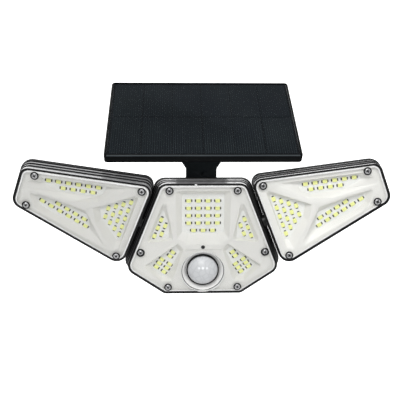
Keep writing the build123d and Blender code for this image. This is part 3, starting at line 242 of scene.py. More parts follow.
def cell_material():
    """Dark cells with fine pale fingers across and a faint mottle."""
    mat = bpy.data.materials.new("solar_cell")
    mat.use_nodes = True
    nt = mat.node_tree
    b = nt.nodes["Principled BSDF"]
    b.inputs["Specular IOR Level"].default_value = 0.1
    pos = nt.nodes.new("ShaderNodeTexCoord")
    split = nt.nodes.new("ShaderNodeSeparateXYZ")
    nt.links.new(pos.outputs["Object"], split.inputs[0])
    turn = nt.nodes.new("ShaderNodeMath")
    turn.operation = "MULTIPLY"
    turn.inputs[1].default_value = 2 * pi / 0.0017
    nt.links.new(split.outputs["X"], turn.inputs[0])
    wave = nt.nodes.new("ShaderNodeMath")
    wave.operation = "COSINE"
    nt.links.new(turn.outputs[0], wave.inputs[0])
    line = nt.nodes.new("ShaderNodeMapRange")
    line.inputs["From Min"].default_value, line.inputs["From Max"].default_value = 0.72, 0.98
    line.inputs["To Min"].default_value, line.inputs["To Max"].default_value = 0.0, 1.0
    nt.links.new(wave.outputs[0], line.inputs["Value"])
    patch = nt.nodes.new("ShaderNodeTexNoise")
    patch.inputs["Scale"].default_value = 45
    patch.inputs["Detail"].default_value = 3
    squeeze = nt.nodes.new("ShaderNodeMapping")
    squeeze.inputs["Scale"].default_value = (1.0, 0.25, 0.25)
    nt.links.new(pos.outputs["Object"], squeeze.inputs["Vector"])
    nt.links.new(squeeze.outputs["Vector"], patch.inputs["Vector"])
    # the finger lines fade in noise patches
    finger_patches = nt.nodes.new("ShaderNodeMapRange")
    finger_patches.inputs["From Min"].default_value, finger_patches.inputs["From Max"].default_value = 0.35, 0.7
    finger_patches.inputs["To Min"].default_value, finger_patches.inputs["To Max"].default_value = 0.25, 1.0
    nt.links.new(patch.outputs["Fac"], finger_patches.inputs["Value"])
    # the finger lines also fade out towards the upper part of the panel
    low = nt.nodes.new("ShaderNodeMapRange")
    low.inputs["From Min"].default_value, low.inputs["From Max"].default_value = 0.088, 0.066
    low.inputs["To Min"].default_value, low.inputs["To Max"].default_value = 0.35, 1.0
    nt.links.new(split.outputs["Z"], low.inputs["Value"])
    finger_fade = nt.nodes.new("ShaderNodeMath")
    finger_fade.operation = "MULTIPLY"
    nt.links.new(finger_patches.outputs["Result"], finger_fade.inputs[0])
    nt.links.new(low.outputs["Result"], finger_fade.inputs[1])
    finger = nt.nodes.new("ShaderNodeMath")
    finger.operation = "MULTIPLY"
    nt.links.new(line.outputs["Result"], finger.inputs[0])
    nt.links.new(finger_fade.outputs[0], finger.inputs[1])
    noise = nt.nodes.new("ShaderNodeTexNoise")
    noise.inputs["Scale"].default_value = 28
    noise.inputs["Detail"].default_value = 5
    nt.links.new(pos.outputs["Object"], noise.inputs["Vector"])
    ramp = nt.nodes.new("ShaderNodeValToRGB")
    ramp.color_ramp.elements[0].position, ramp.color_ramp.elements[1].position = 0.32, 0.68
    ramp.color_ramp.elements[0].color = (0.0050, 0.0073, 0.0102, 1)
    ramp.color_ramp.elements[1].color = (0.0072, 0.0104, 0.0122, 1)
    nt.links.new(noise.outputs["Fac"], ramp.inputs["Fac"])
    mix = nt.nodes.new("ShaderNodeMix")
    mix.data_type = "RGBA"
    mix.inputs["B"].default_value = (0.042, 0.052, 0.056, 1)
    nt.links.new(finger.outputs[0], mix.inputs["Factor"])
    nt.links.new(ramp.outputs["Color"], mix.inputs["A"])
    nt.links.new(mix.outputs["Result"], b.inputs["Base Color"])
    rough = nt.nodes.new("ShaderNodeMapRange")
    rough.inputs["To Min"].default_value, rough.inputs["To Max"].default_value = 0.3, 0.45
    nt.links.new(noise.outputs["Fac"], rough.inputs["Value"])
    nt.links.new(rough.outputs["Result"], b.inputs["Roughness"])
    return mat


M["cells"] = cell_material()


def dome_material():
    """Frosted lens: cloudy body, a faceted field of small lenses and three small painted highlights on its crown."""
    mat = bpy.data.materials.new("sensor_dome")
    mat.use_nodes = True
    nt = mat.node_tree
    b = nt.nodes["Principled BSDF"]
    b.inputs["Roughness"].default_value = 0.34
    b.inputs["Specular IOR Level"].default_value = 0.5
    b.inputs["Subsurface Weight"].default_value = 0.0
    pos = nt.nodes.new("ShaderNodeTexCoord")
    lens = nt.nodes.new("ShaderNodeTexVoronoi")
    lens.feature = "DISTANCE_TO_EDGE"
    lens.inputs["Scale"].default_value = 210
    nt.links.new(pos.outputs["Object"], lens.inputs["Vector"])
    rim = nt.nodes.new("ShaderNodeMapRange")
    rim.inputs["From Min"].default_value, rim.inputs["From Max"].default_value = 0.0, 0.12
    nt.links.new(lens.outputs["Distance"], rim.inputs["Value"])
    body = nt.nodes.new("ShaderNodeMix")
    body.data_type = "RGBA"
    body.inputs["A"].default_value = (0.50, 0.51, 0.52, 1)
    body.inputs["B"].default_value = (0.56, 0.57, 0.58, 1)
    nt.links.new(rim.outputs["Result"], body.inputs["Factor"])
    last = body.outputs["Result"]
    # three small white spots: painted highlights
    for dx in (-3.1, -0.1, 3.1):
        at = nt.nodes.new("ShaderNodeVectorMath")
        at.operation = "DISTANCE"
        nt.links.new(pos.outputs["Object"], at.inputs[0])
        at.inputs[1].default_value = (dx / 1000, -0.0898, -0.0250)
        painted_glint = nt.nodes.new("ShaderNodeMapRange")
        painted_glint.inputs["From Min"].default_value, painted_glint.inputs["From Max"].default_value = 0.0005, 0.0015
        painted_glint.inputs["To Min"].default_value, painted_glint.inputs["To Max"].default_value = 0.9, 0.0
        nt.links.new(at.outputs["Value"], painted_glint.inputs["Value"])
        add = nt.nodes.new("ShaderNodeMix")
        add.data_type = "RGBA"
        add.inputs["B"].default_value = (0.95, 0.96, 0.98, 1)
        nt.links.new(painted_glint.outputs["Result"], add.inputs["Factor"])
        nt.links.new(last, add.inputs["A"])
        last = add.outputs["Result"]
    nt.links.new(last, b.inputs["Base Color"])
    bump = nt.nodes.new("ShaderNodeBump")
    bump.inputs["Strength"].default_value = 0.12
    bump.inputs["Distance"].default_value = 0.0002
    nt.links.new(lens.outputs["Distance"], bump.inputs["Height"])
    nt.links.new(bump.outputs["Normal"], b.inputs["Normal"])
    return mat


M["dome"] = dome_material()

# ---------------------------------------------------------------------------
# Places: face coordinates in millimetres to the row frame in metres
# ---------------------------------------------------------------------------
SLANT = 21.8
SA, CA = sin(radians(SLANT)), cos(radians(SLANT))
LED_Y, LED_Z = -82.0, 26.0


def face(x, y, z):
    return Vector((x, LED_Y - z, LED_Z + y)) / 1000.0


def wing_place(s, degrees_down):
    centre = face(s * 46.2, -18.0, -5.0)
    turn = Matrix.Rotation(radians(degrees_down), 3, Vector((CA, 0, s * SA)))

    def place(x, y, z):
        return centre + turn @ (face(x, y, z) - centre)

    return place


PLACE = {"centre": face, "left": wing_place(-1, 5.5), "right": wing_place(1, -9.5)}
SIDE = {"centre": 1, "left": -1, "right": 1}
BODY = {"centre": "head", "left": "left_head", "right": "right_head"}

PT = radians(29.0)
PANEL_O = Vector((0, -46.9, 83.3))
PANEL_Y = Vector((0, cos(PT), sin(PT)))
PANEL_N = Vector((0, -sin(PT), cos(PT)))


def panel(x, y, z):
    return (PANEL_O + Vector((x, 0, 0)) + PANEL_Y * y + PANEL_N * z) / 1000.0


def shaft_place(s):
    o = Vector((s * 46.2, -77.0, 8.0))
    n = Vector((s * CA, 0, SA))
    x = Vector((0, -1, 0))
    y = n.cross(x)

    def place(a, b, c):
        return (o + x * a + y * b + n * c) / 1000.0

    return place


# ---------------------------------------------------------------------------
# Outlines
# ---------------------------------------------------------------------------
def direction(angle):
    return (cos(radians(angle)), sin(radians(angle)))


CENTRE_EDGES = [
    ((0.0, 13.3), direction(0)), ((42.85, -17.0), (SA, -CA)), ((43.0, -62.1), direction(215.0)),
    ((0.0, -71.9), direction(180)), ((-43.0, -62.1), direction(145.0)), ((-42.85, -17.0), (SA, CA)),
]
CENTRE_R = [6.0, 6.0, 6.6, 4.0, 4.0, 6.6]
WING_EDGES = [
    ((49.25, -17.0), (-SA, CA)), ((85.5, 20.6), direction(8.2)),
    ((134.1, 13.0), direction(-69.7)), ((100.22, -23.93), direction(213.2)),
]
WING_R = [7.0, 5.6, 5.6, 6.2]


def rounded(points, radii, n=7):
    """A closed polygon with its corners rounded, the same count of points at each corner."""
    out = []
    k = len(points)
    for i in range(k):
        p0, p1, p2 = (Vector((*points[j % k], 0)) for j in (i - 1, i, i + 1))
        a, b = (p0 - p1), (p2 - p1)
        la, lb = a.length, b.length
        a.normalize(), b.normalize()
        half = a.angle(b) / 2
        reach = min(radii[i] / tan(half), 0.46 * la, 0.46 * lb)
        r = reach * tan(half)
        middle = p1 + (a + b).normalized() * (r / sin(half))
        s0, s1 = (p1 + a * reach) - middle, (p1 + b * reach) - middle
        a0 = atan2(s0.y, s0.x)
        sweep = atan2(s1.y, s1.x) - a0
        while sweep > pi:
            sweep -= 2 * pi
        while sweep < -pi:
            sweep += 2 * pi
        for j in range(n):
            t = a0 + sweep * j / (n - 1)
            out.append((middle.x + r * cos(t), middle.y + r * sin(t)))
    return out


def outline(edges, radii, outs, s=1, n=7):
    lines = [(px - dy * o, py + dx * o, dx, dy) for ((px, py), (dx, dy)), o in zip(edges, outs)]
    points, rounds = [], []
    for i, (x2, y2, ax, ay) in enumerate(lines):
        x1, y1, bx, by = lines[i - 1]
        cross = bx * ay - by * ax
        t = ((x2 - x1) * ay - (y2 - y1) * ax) / cross
        points.append((s * (x1 + bx * t), y1 + by * t))
        rounds.append(max(0.8, radii[i] + min(outs[i - 1], outs[i])))
    return rounded(points, rounds, n)


def head_outline(which, out, side=None, top=None):
    side = out if side is None else side
    top = out if top is None else top
    if which == "centre":
        return outline(CENTRE_EDGES, CENTRE_R, [top, side, out, out, out, side])
    return outline(WING_EDGES, WING_R, [side, top, out, out], SIDE[which], 10)


def circle(x, y, r, n=32, start=0.0):
    return [(x + r * cos(start + 2 * pi * i / n), y + r * sin(start + 2 * pi * i / n)) for i in range(n)]


def lerp(a, b, t):
    return [(p[0] + (q[0] - p[0]) * t, p[1] + (q[1] - p[1]) * t) for p, q in zip(a, b)]


# ---------------------------------------------------------------------------
# Mesh writer
# ---------------------------------------------------------------------------
class Piece:
    def __init__(self, name, place=face):
        self.name, self.place = name, place
        self.v, self.f, self.m = [], [], []

    def ring(self, points, z, place=None):
        place = place or self.place
        start = len(self.v)
        self.v += [place(x, y, z) for x, y in points]
        return list(range(start, len(self.v)))

    def strip(self, a, b, slot=0, closed=True):
        n = len(a)
        for i in range(n if closed else n - 1):
            j = (i + 1) % n
            self.f.append((a[i], a[j], b[j], b[i]))
            self.m.append(slot)

    def cap(self, a, slot=0):
        self.f.append(tuple(a))
        self.m.append(slot)

    def loft(self, rings, slot=0, slots=None):
        for i in range(len(rings) - 1):
            self.strip(rings[i], rings[i + 1], slots[i] if slots else slot)

    def fill(self, outer, holes, slot=0):
        """A flat face between an outer ring of indices and rings of holes."""
        loops = [outer] + holes
        flat = [i for loop in loops for i in loop]
        origin = self.v[outer[0]]
        # flatten to the ring's own plane
        n = Vector((0, 0, 0))
        for i in range(len(outer)):
            n += (self.v[outer[i]] - origin).cross(self.v[outer[(i + 1) % len(outer)]] - origin)
        n.normalize()
        u = n.orthogonal().normalized()
        w = n.cross(u)
        polys = [[Vector(((self.v[i] - origin).dot(u) * 1000, (self.v[i] - origin).dot(w) * 1000, 0)) for i in loop] for loop in loops]
        for tri in tessellate_polygon(polys):
            a, b, c = (flat[k] for k in tri)
            if len({a, b, c}) == 3:
                self.f.append((a, b, c))
                self.m.append(slot)

    def tube(self, points, z0, z1, slot=0, chamfer=0.0, cap0=True, cap1=True, inset=None):
        """A prism on an outline, its z1 end chamfered."""
        r0 = self.ring(points, z0)
        rings = [r0]
        if chamfer:
            c = Vector((sum(p[0] for p in points) / len(points), sum(p[1] for p in points) / len(points)))
            rings.append(self.ring(points, z1 - chamfer if z1 > z0 else z1 + chamfer))
            small = []
            for p in points:
                d = Vector(p) - c
                small.append(tuple(c + d * max(0.0, 1 - chamfer / d.length)))
            rings.append(self.ring(small, z1))
        else:
            rings.append(self.ring(points, z1))
        self.loft(rings, slot)
        if cap0:
            self.cap(rings[0], slot)
        if cap1:
            self.cap(rings[-1], slot)
        return rings

    def make(self, mats, body, replaces=(), angle=32.0, normals=True):
        me = bpy.data.meshes.new(self.name)
        me.from_pydata([tuple(p) for p in self.v], [], self.f)
        for mt in mats:
            me.materials.append(mt)
        me.polygons.foreach_set("material_index", self.m)
        me.update()
        bm = bmesh.new()
        bm.from_mesh(me)
        if normals:
            bmesh.ops.recalc_face_normals(bm, faces=bm.faces)
        bm.to_mesh(me)
        bm.free()
        me.polygons.foreach_set("use_smooth", [True] * len(me.polygons))
        me.set_sharp_from_angle(angle=radians(angle))
        o = bpy.data.objects.new(self.name, me)
        scene.collection.objects.link(o)
        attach(o, body)
        if replaces:
            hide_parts(*replaces)
        return o


def finish_node(node, mat):
    """A CAD node that stays as it is, with its finish."""
    o = NODES[node]
    o.data.materials.clear()
    o.data.materials.append(mat)


def refine(node, name, mat, body, width=0.35, segments=2, angle=30.0):
    """A copy of a CAD node's mesh with eased edges."""
    src = NODES[node].data
    bm = bmesh.new()
    bm.from_mesh(src)
    bmesh.ops.remove_doubles(bm, verts=bm.verts, dist=2e-6)
    bmesh.ops.dissolve_limit(bm, angle_limit=radians(0.8), verts=bm.verts, edges=bm.edges)
    me = bpy.data.meshes.new(name)
    bm.to_mesh(me)
    bm.free()
    me.materials.clear()
    me.materials.append(mat)
    me.polygons.foreach_set("material_index", [0] * len(me.polygons))
    o = bpy.data.objects.new(name, me)
    scene.collection.objects.link(o)
    mod = o.modifiers.new("ease", "BEVEL")
    mod.limit_method = "ANGLE"
    mod.angle_limit = radians(angle)
    mod.width = width / 1000.0
    mod.segments = segments
    mod.use_clamp_overlap = True
    mod.harden_normals = False
    dg = bpy.context.evaluated_depsgraph_get()
    done = bpy.data.meshes.new_from_object(o.evaluated_get(dg))
    o.modifiers.clear()
    o.data = done
    done.name = name
    done.polygons.foreach_set("use_smooth", [True] * len(done.polygons))
    done.set_sharp_from_angle(angle=radians(35))
    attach(o, body)
    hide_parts(node)
    return o


# ---------------------------------------------------------------------------
# Head dimensions
# ---------------------------------------------------------------------------
LEDGE, BOARD = 1.2, -0.7
RIM_TOP, COVER_FRONT, COVER_BACK = 4.2, 4.6, 3.0
STEPS, SHOULDER, BACK = (-0.2, -2.6, -5.1), -8.6, -14.0
# rim and the three steps: how far each goes out at the bottom and end, towards the next head, and at the top
GROW = {
    "centre": ((1.8, 1.4, 1.2), (2.2, 2.35, 1.7), (2.6, 3.3, 2.2), (3.0, 4.42, 2.6)),
    "left": ((1.8, 1.4, 1.2), (2.3, 1.4, 2.2), (2.85, 1.4, 3.2), (3.4, 1.4, 4.2)),
}
GROW["right"] = GROW["left"]
BACK_IN = -3.0

CENTRE_SCREWS = [(25.0, 9.2), (-25.0, 9.2), (47.1, -39.3), (-47.1, -39.3), (26.7, -68.0), (-26.7, -68.0)]
WING_SCREWS = [(121.1, 22.0), (129.5, -0.7), (44.7, 10.3), (65.5, -42.2)]
PIR_Y, PIR_CONE_R, PIR_RING_R, PIR_DOME_R, PIR_DOME_TOP = -55.4, 15.4, 12.7, 11.45, 8.2

CENTRE_POCKETS = [
    (
        [(-20.5, 8.4), (20.5, 8.4), (19.6, -29.0), (11.8, -33.4), (-11.8, -33.4), (-19.6, -29.0)],
        [(-15.8, 5.4), (15.8, 5.4), (15.8, -24.6), (11.0, -26.2), (-11.0, -26.2), (-15.8, -24.6)],
    ),
    (
        [(28.4, 2.6), (42.9, -32.0), (22.4, -30.0), (25.2, -14.8)],
        [(29.8, -6.0), (40.1, -31.3), (25.6, -29.4), (26.0, -18.2)],
    ),
    (
        [(18.8, -33.0), (45.0, -51.2), (32.0, -63.4), (23.6, -63.4), (14.8, -37.6)],
        [(21.0, -36.3), (41.0, -50.6), (31.9, -60.8), (27.9, -60.8), (17.6, -40.4)],
    ),
]
CENTRE_POCKETS += [([(-x, y) for x, y in a], [(-x, y) for x, y in b]) for a, b in CENTRE_POCKETS[1:3]]
WING_POCKETS = [
    (
        [(53.0, 11.6), (117.0, 20.4), (126.5, 16.8), (130.5, 13.0), (96.0, 1.6), (78.0, 1.2)],
        [(70.0, 12.4), (115.5, 19.4), (117.8, 15.4), (105.5, 7.8), (80.0, 3.8), (74.0, 6.0)],
    ),
    (
        [(46.6, 6.9), (81.6, -3.6), (79.4, -16.0), (69.0, -37.8), (63.4, -36.8)],
        [(49.4, 3.6), (77.0, -2.8), (75.8, -13.5), (65.4, -31.3), (61.6, -31.0)],
    ),
    (
        [(87.0, -5.6), (119.5, 6.4), (127.5, 8.6), (124.0, -2.0), (119.5, -7.4), (74.0, -36.4)],
        [(86.2, -10.2), (107.5, 1.2), (121.8, 4.4), (121.4, -1.6), (112.4, -8.8), (84.6, -23.6)],
    ),
]


def row_of(start, angle, pitch, count, first=0.0, side=0.0):
    ux, uy = direction(angle)
    return [
        (start[0] + ux * pitch * (i + first) - uy * side, start[1] + uy * pitch * (i + first) + ux * side, angle)
        for i in range(count)
    ]


centre_leds = []
for row in range(4):
    centre_leds += [((c - 1.5) * 7.2, -5.84 * row, 0) for c in range(4)]
centre_leds += [((c - 1) * 7.2, -5.84 * 4, 0) for c in range(3)]
half = row_of((31.3, -14.7), -67.5, 7.0, 3) + row_of((31.3, -14.7), -67.5, 7.0, 2, 0.5, -4.52)
for x, y, a in row_of((22.85, -41.1), -54.9, 3.79, 2):
    half.append((x, y, a + 90))
for x, y, a in row_of((22.85, -41.1), -54.9, 3.79, 3, 2.5, 3.53) + row_of((22.85, -41.1), -54.9, 3.79, 3, 2.5, -3.53):
    half.append((x, y, a + 90))
centre_leds += half + [(-x, y, 180 - a) for x, y, a in half]
wing_leds = row_of((76.6, 11.4), 8.5, 7.28, 6) + row_of((76.6, 11.4), 8.5, 7.28, 4, 0.5, -4.46)
for column, count in enumerate((5, 4, 3, 2)):
    wing_leds += row_of((53.2, -0.2), -69.2, 7.0, count, 0.5 * column, 4.74 * column)
wing_leds += row_of((88.05, -19.4), 33.5, 7.27, 6) + row_of((88.05, -19.4), 33.5, 7.27, 4, 0.5, 4.33)


# ---------------------------------------------------------------------------
# Heads
# ---------------------------------------------------------------------------
def make_housing(which):
    levels = GROW[which]
    p = Piece(which + "_shell", PLACE[which])

    def ring(level, z, less=0.0):
        return p.ring(head_outline(which, level[0] - less, level[1] - less, level[2] - less), z)

    def mixed(level, t):
        return tuple(g + (BACK_IN - g) * t for g in level)

    flat = (0.0, 0.0, 0.0)
    rim = levels[0]
    rings = [
        ring(flat, LEDGE), ring(flat, RIM_TOP - 0.08), ring((0.06, 0.06, 0.06), RIM_TOP),
        ring(rim, RIM_TOP, 0.3), ring(rim, RIM_TOP - 0.09, 0.09), ring(rim, RIM_TOP - 0.3),
    ]
    slots = [0] * 5
    for i in range(3):
        level, before, z = levels[i + 1], levels[i], STEPS[i]
        # the step walls take the lighter grey: painted sheen
        rings.append(ring(before, z + 0.12))
        slots.append(2)
        side = level[1] if level[1] == before[1] else level[1] - 0.32
        if side == level[1]:
            rings.append(p.ring(head_outline(which, level[0] - 0.32, side, level[2] - 0.32), z))
            rings.append(p.ring(head_outline(which, level[0] - 0.1, side, level[2] - 0.1), z - 0.1))
        else:
            rings += [ring(level, z, 0.32), ring(level, z - 0.1, 0.1)]
        rings.append(ring(level, z - 0.32))
        slots += [0, 0, 0]
    last = levels[3]
    rings += [ring(last, STEPS[2] - 0.7), ring(last, SHOULDER + 0.25)]
    slots += [0, 1]
    for t in (0.045, 0.16, 0.90):
        rings.append(ring(mixed(last, t), SHOULDER + (BACK - SHOULDER) * t))
        slots.append(1)
    rings.append(ring((BACK_IN - 0.5,) * 3, BACK + 0.06))
    rings.append(ring((BACK_IN - 1.2,) * 3, BACK))
    slots += [1, 1]
    if which != "centre":
        rings += [ring((BACK_IN - 3.4,) * 3, BACK), ring((BACK_IN - 4.2,) * 3, BACK + 0.7)]
        slots += [1, 1]
    p.loft(rings, slots=slots)
    count = len(rings[0])
    # step-wall faces towards the next head take the darker grey: painted shade in the gap
    for i, slot in enumerate(slots):
        if slot == 2:
            for k in (13, 14, 15, 16, 17, 38, 39, 40, 41) if which == "centre" else (9,):
                p.m[i * count + k] = 3
    p.cap(rings[-1], 1)
    # inside: ledge, throat, hollow, floor
    near = (1.2, 1.0) if which == "centre" else (-0.8, -0.8)
    inner = [
        rings[0], ring((-1.8,) * 3, LEDGE), ring((-1.8,) * 3, -2.0),
        ring((0.7, near[0], 0.7), -2.0), ring((0.6, near[1], 0.6), SHOULDER), ring((-3.4,) * 3, -12.0),
    ]
    p.loft(inner, 1)
    p.cap(inner[-1], 1)
    if which == "centre":
        # collars of the side shafts
        for s in (-1, 1):
            sp = shaft_place(s)
            c = [p.ring(circle(0, 0, rr, 40), z, sp) for rr, z in ((5.6, -4.2), (6.1, -4.2), (6.1, -1.15), (5.85, -0.85), (4.75, -0.85), (4.6, -1.2))]
            p.loft(c, 1)
    else:
        # ribs across the back
        s = SIDE[which]
        for x, y0, y1 in ((72.0, -14.0, 5.0), (84.0, -14.0, 9.0), (96.0, -11.0, 11.5), (108.0, -5.0, 13.0)):
            pts = [(s * (x - 0.9), y0), (s * (x + 0.9), y0), (s * (x + 0.9), y1), (s * (x - 0.9), y1)]
            p.tube(rounded(pts, [0.8] * 4, 4), BACK + 0.8, BACK, 1, chamfer=0.25, cap0=False)
    return p.make([M["head"], M["shell"], M["wall"], M["gap"]], BODY[which], [which + "_housing"])


def pocket_rings(p, front, back, s, r_front=1.6, r_back=0.9):
    a = rounded([(s * x, y) for x, y in front], [r_front] * len(front), 5)
    b = rounded([(s * x, y) for x, y in back], [r_back] * len(back), 5)
    top = COVER_BACK - 0.02
    run = top - BOARD
    rings = []
    for dz, t in ((0.0, -0.075), (0.10, -0.02), (0.32, 0.06), (run * 0.55, 0.53), (run - 0.35, 0.90), (run - 0.12, 0.975), (run + 0.0, 1.0)):
        rings.append(p.ring(lerp(a, b, t), top - dz))
    return rings


def make_reflector(which):
    s = SIDE[which]
    p = Piece(which + "_reflector_shell", PLACE[which])
    top = COVER_BACK - 0.02
    front = p.ring(head_outline(which, -0.5, -0.5), top)
    edge = p.ring(head_outline(which, -0.35, -0.35), top - 0.2)
    edge2 = p.ring(head_outline(which, -0.35, -0.35), 2.0)
    under = p.ring(head_outline(which, -2.1, -4.9 if which == "centre" else -4.2), 2.0)
    foot = p.ring(head_outline(which, -2.1, -4.9 if which == "centre" else -4.2), BOARD)
    p.loft([front, edge, edge2, under, foot])
    holes_front, holes_back = [], []
    for a, b in CENTRE_POCKETS if which == "centre" else WING_POCKETS:
        rings = pocket_rings(p, a, b, s)
        p.loft(rings)
        holes_front.append(rings[0])
        holes_back.append(rings[-1])
    for x, y in CENTRE_SCREWS if which == "centre" else WING_SCREWS:
        hole = [p.ring(circle(s * x, y, rr, 20), z) for rr, z in ((1.9, top), (1.7, top - 0.2), (1.7, 2.0))]
        p.loft(hole)
        holes_front.append(hole[0])
    if which == "centre":
        cone = [
            p.ring(circle(0, PIR_Y, rr, 72), z)
            for rr, z in ((16.3, top), (16.2, top - 0.7), (15.85, top - 0.7), (15.75, top - 0.05), (15.6, top), (15.3, top - 0.2), (14.3, 1.3), (13.4, 0.2), (13.1, -0.35), (13.0, BOARD))
        ]
        # slot 2 darkens the groove round the cone and slot 1 the lower cone wall: painted shade
        p.loft(cone, slots=[2, 2, 2, 0, 0, 1, 1, 1, 1])
        holes_front.append(cone[0])
        holes_back.append(cone[-1])
    if which == "centre":
        # crease below the middle pocket, its walls in the darker white as painted shade
        cuts = []
        for w, x, z in ((0.36, 14.4, top), (0.1, 14.0, top - 0.45)):
            cuts.append(p.ring([(-x, -38.0 - w), (x, -38.0 - w), (x, -38.0 + w), (-x, -38.0 + w)], z))
        p.loft(cuts, 1)
        p.cap(cuts[-1], 1)
        holes_front.append(cuts[0])
        # well of the light sensor
        well = [p.ring(circle(0, -35.8, rr, 28), z) for rr, z in ((1.62, top), (1.52, top - 0.1), (1.52, 2.0))]
        p.loft(well)
        holes_front.append(well[0])
    p.fill(front, holes_front)
    p.fill(foot, holes_back)
    return p.make([M["white"], M["cone"], M["groove"]], BODY[which], [which + "_reflector"], angle=38)


def make_cover(which):
    s = SIDE[which]
    p = Piece(which + "_clear_cover", PLACE[which])
    screws = [(s * x, y) for x, y in (CENTRE_SCREWS if which == "centre" else WING_SCREWS)]
    rb = p.ring(head_outline(which, -0.35, -0.35), COVER_BACK)
    r1 = p.ring(head_outline(which, -0.35, -0.35), COVER_FRONT - 0.45)
    r2 = p.ring(head_outline(which, -0.5, -0.5), COVER_FRONT - 0.12)
    r3 = p.ring(head_outline(which, -0.8, -0.8), COVER_FRONT)
    r4 = p.ring(head_outline(which, -1.5, -1.5), COVER_FRONT)
    # the edge faces take the hazy white: painted highlight
    p.loft([rb, r1, r2, r3, r4], 1)
    back, front = [], []
    for x, y in screws:
        low = which == "centre" and y < 0 and y > -60
        if low:
            c = [p.ring(circle(x, y, rr, 24), z) for rr, z in ((1.6, COVER_BACK), (1.6, 3.8), (3.1, 3.8), (3.1, COVER_FRONT))]
        else:
            c = [p.ring(circle(x, y, rr, 24), z) for rr, z in ((1.6, COVER_BACK), (1.6, COVER_FRONT))]
        p.loft(c, 1)
        back.append(c[0])
        front.append(c[-1])
    if which == "centre":
        c = [p.ring(circle(0, PIR_Y, rr, 72), z) for rr, z in ((16.35, COVER_BACK), (16.35, COVER_FRONT - 0.25), (16.55, COVER_FRONT))]
        p.loft(c, 1)
        c2 = p.ring(circle(0, PIR_Y, 16.8, 72), COVER_FRONT)
        p.strip(c[-1], c2, 1)
        back.append(c[0])
        front.append(c2)
        # small tab over the top rim
        tab = [p.ring(rounded([(x0, y0), (x1, y0), (x1, y1), (x0, y1)], [0.25] * 4, 4), z) for x0, y0, x1, y1, z in ((-6.5, 12.7, -4.8, 14.2, 4.24), (-6.5, 12.7, -4.8, 14.2, 4.6), (-6.35, 12.85, -4.95, 14.05, 4.74))]
        p.loft(tab, 1)
        p.cap(tab[0], 1)
        p.cap(tab[-1], 1)
    p.fill(rb, back, 0)
    p.fill(r4, front, 0)
    return p.make([M["cover"], M["cover_edge_highlight"]], BODY[which], [which + "_cover"], angle=28)


def make_leds(which):
    s = SIDE[which]
    p = Piece(which + "_led_set", PLACE[which])
    for k, (x, y, a) in enumerate(centre_leds if which == "centre" else wing_leds):
        end, broad = (2.5, 0.85) if which != "centre" and 10 <= k < 24 or which == "centre" and 19 <= k < 24 else (2.7, 1.0)
        if s < 0:
            x, a = -x, -a
        c, d = cos(radians(a)), sin(radians(a))

        def at(pts):
            return [(x + c * u - d * v, y + d * u + c * v) for u, v in pts]

        def box(u0, u1, v0, v1, r=0.12, n=3):
            return rounded([(u0, v0), (u1, v0), (u1, v1), (u0, v1)], [r] * 4, n)

        # solder ends
        for q in (-1, 1):
            pts = box(min(q * 1.5, q * end), max(q * 1.5, q * end), -broad, broad, 0.3)
            rr = [p.ring(at(pts), BOARD + 0.01), p.ring(at(pts), BOARD + 0.22)]
            pts = box(min(q * 1.6, q * (end - 0.15)), max(q * 1.6, q * (end - 0.15)), 0.12 - broad, broad - 0.12, 0.25)
            rr.append(p.ring(at(pts), BOARD + 0.34))
            p.loft(rr, 2)
            p.cap(rr[-1], 2)
            p.cap(rr[0], 2)
        rr = [
            p.ring(at(box(-1.75, 1.75, -1.5, 1.5)), BOARD + 0.02),
            p.ring(at(box(-1.75, 1.75, -1.5, 1.5)), -0.16),
            p.ring(at(box(-1.7, 1.7, -1.45, 1.45)), -0.06),
            p.ring(at(box(-1.68, 1.68, -1.43, 1.43, 0.3)), -0.05),
            p.ring(at(box(-1.5, 1.5, -1.25, 1.25, 0.3)), -0.005),
        ]
        p.loft(rr[:4], 0)
        p.strip(rr[3], rr[4], 1)
        p.cap(rr[4], 1)
        p.cap(rr[0], 0)
    return p.make([M["package"], M["phosphor"], M["solder"]], BODY[which], [which + "_leds"], angle=30)


def plus(x, y, half_l, half_w, turn=0.0):
    pts = [
        (half_l, half_w), (half_w, half_w), (half_w, half_l), (-half_w, half_l), (-half_w, half_w), (-half_l, half_w),
        (-half_l, -half_w), (-half_w, -half_w), (-half_w, -half_l), (half_w, -half_l), (half_w, -half_w), (half_l, -half_w),
    ]
    c, d = cos(turn), sin(turn)
    return [(x + c * u - d * v, y + d * u + c * v) for u, v in pts]


def screw(p, x, y, base, top, r, turn, shade_ring=True):
    """Pan head with a cross recess darkened as painted shade, on a dark ring painted as the shade round the screw."""
    h = top - base
    sign = 1
    head = [
        p.ring(circle(x, y, rr, 32), z)
        for rr, z in ((r * 0.93, base), (r, base + 0.10 * h), (r * 0.985, base + 0.30 * h), (r * 0.93, base + 0.55 * h), (r * 0.82, base + 0.84 * h), (r * 0.68, top))
    ]
    p.loft(head, 0)
    p.cap(head[0], 0)
    cross = p.ring(plus(x, y, 0.56 * r, 0.17 * r, turn), top)
    p.fill(head[-1], [cross], 0)
    deep = p.ring(plus(x, y, 0.46 * r, 0.14 * r, turn), base + 0.05)
    # the recess walls and floor are dark: painted shade
    p.strip(cross, deep, 1)
    p.cap(deep, 1)
    if shade_ring:
        w = [p.ring(circle(x, y, rr, 32), z) for rr, z in ((r * 0.9, base + 0.3), (r + 0.2, base + 0.36), (r + 0.7, base + 0.24), (r + 0.9, base + 0.02))]
        p.loft(w, 1)


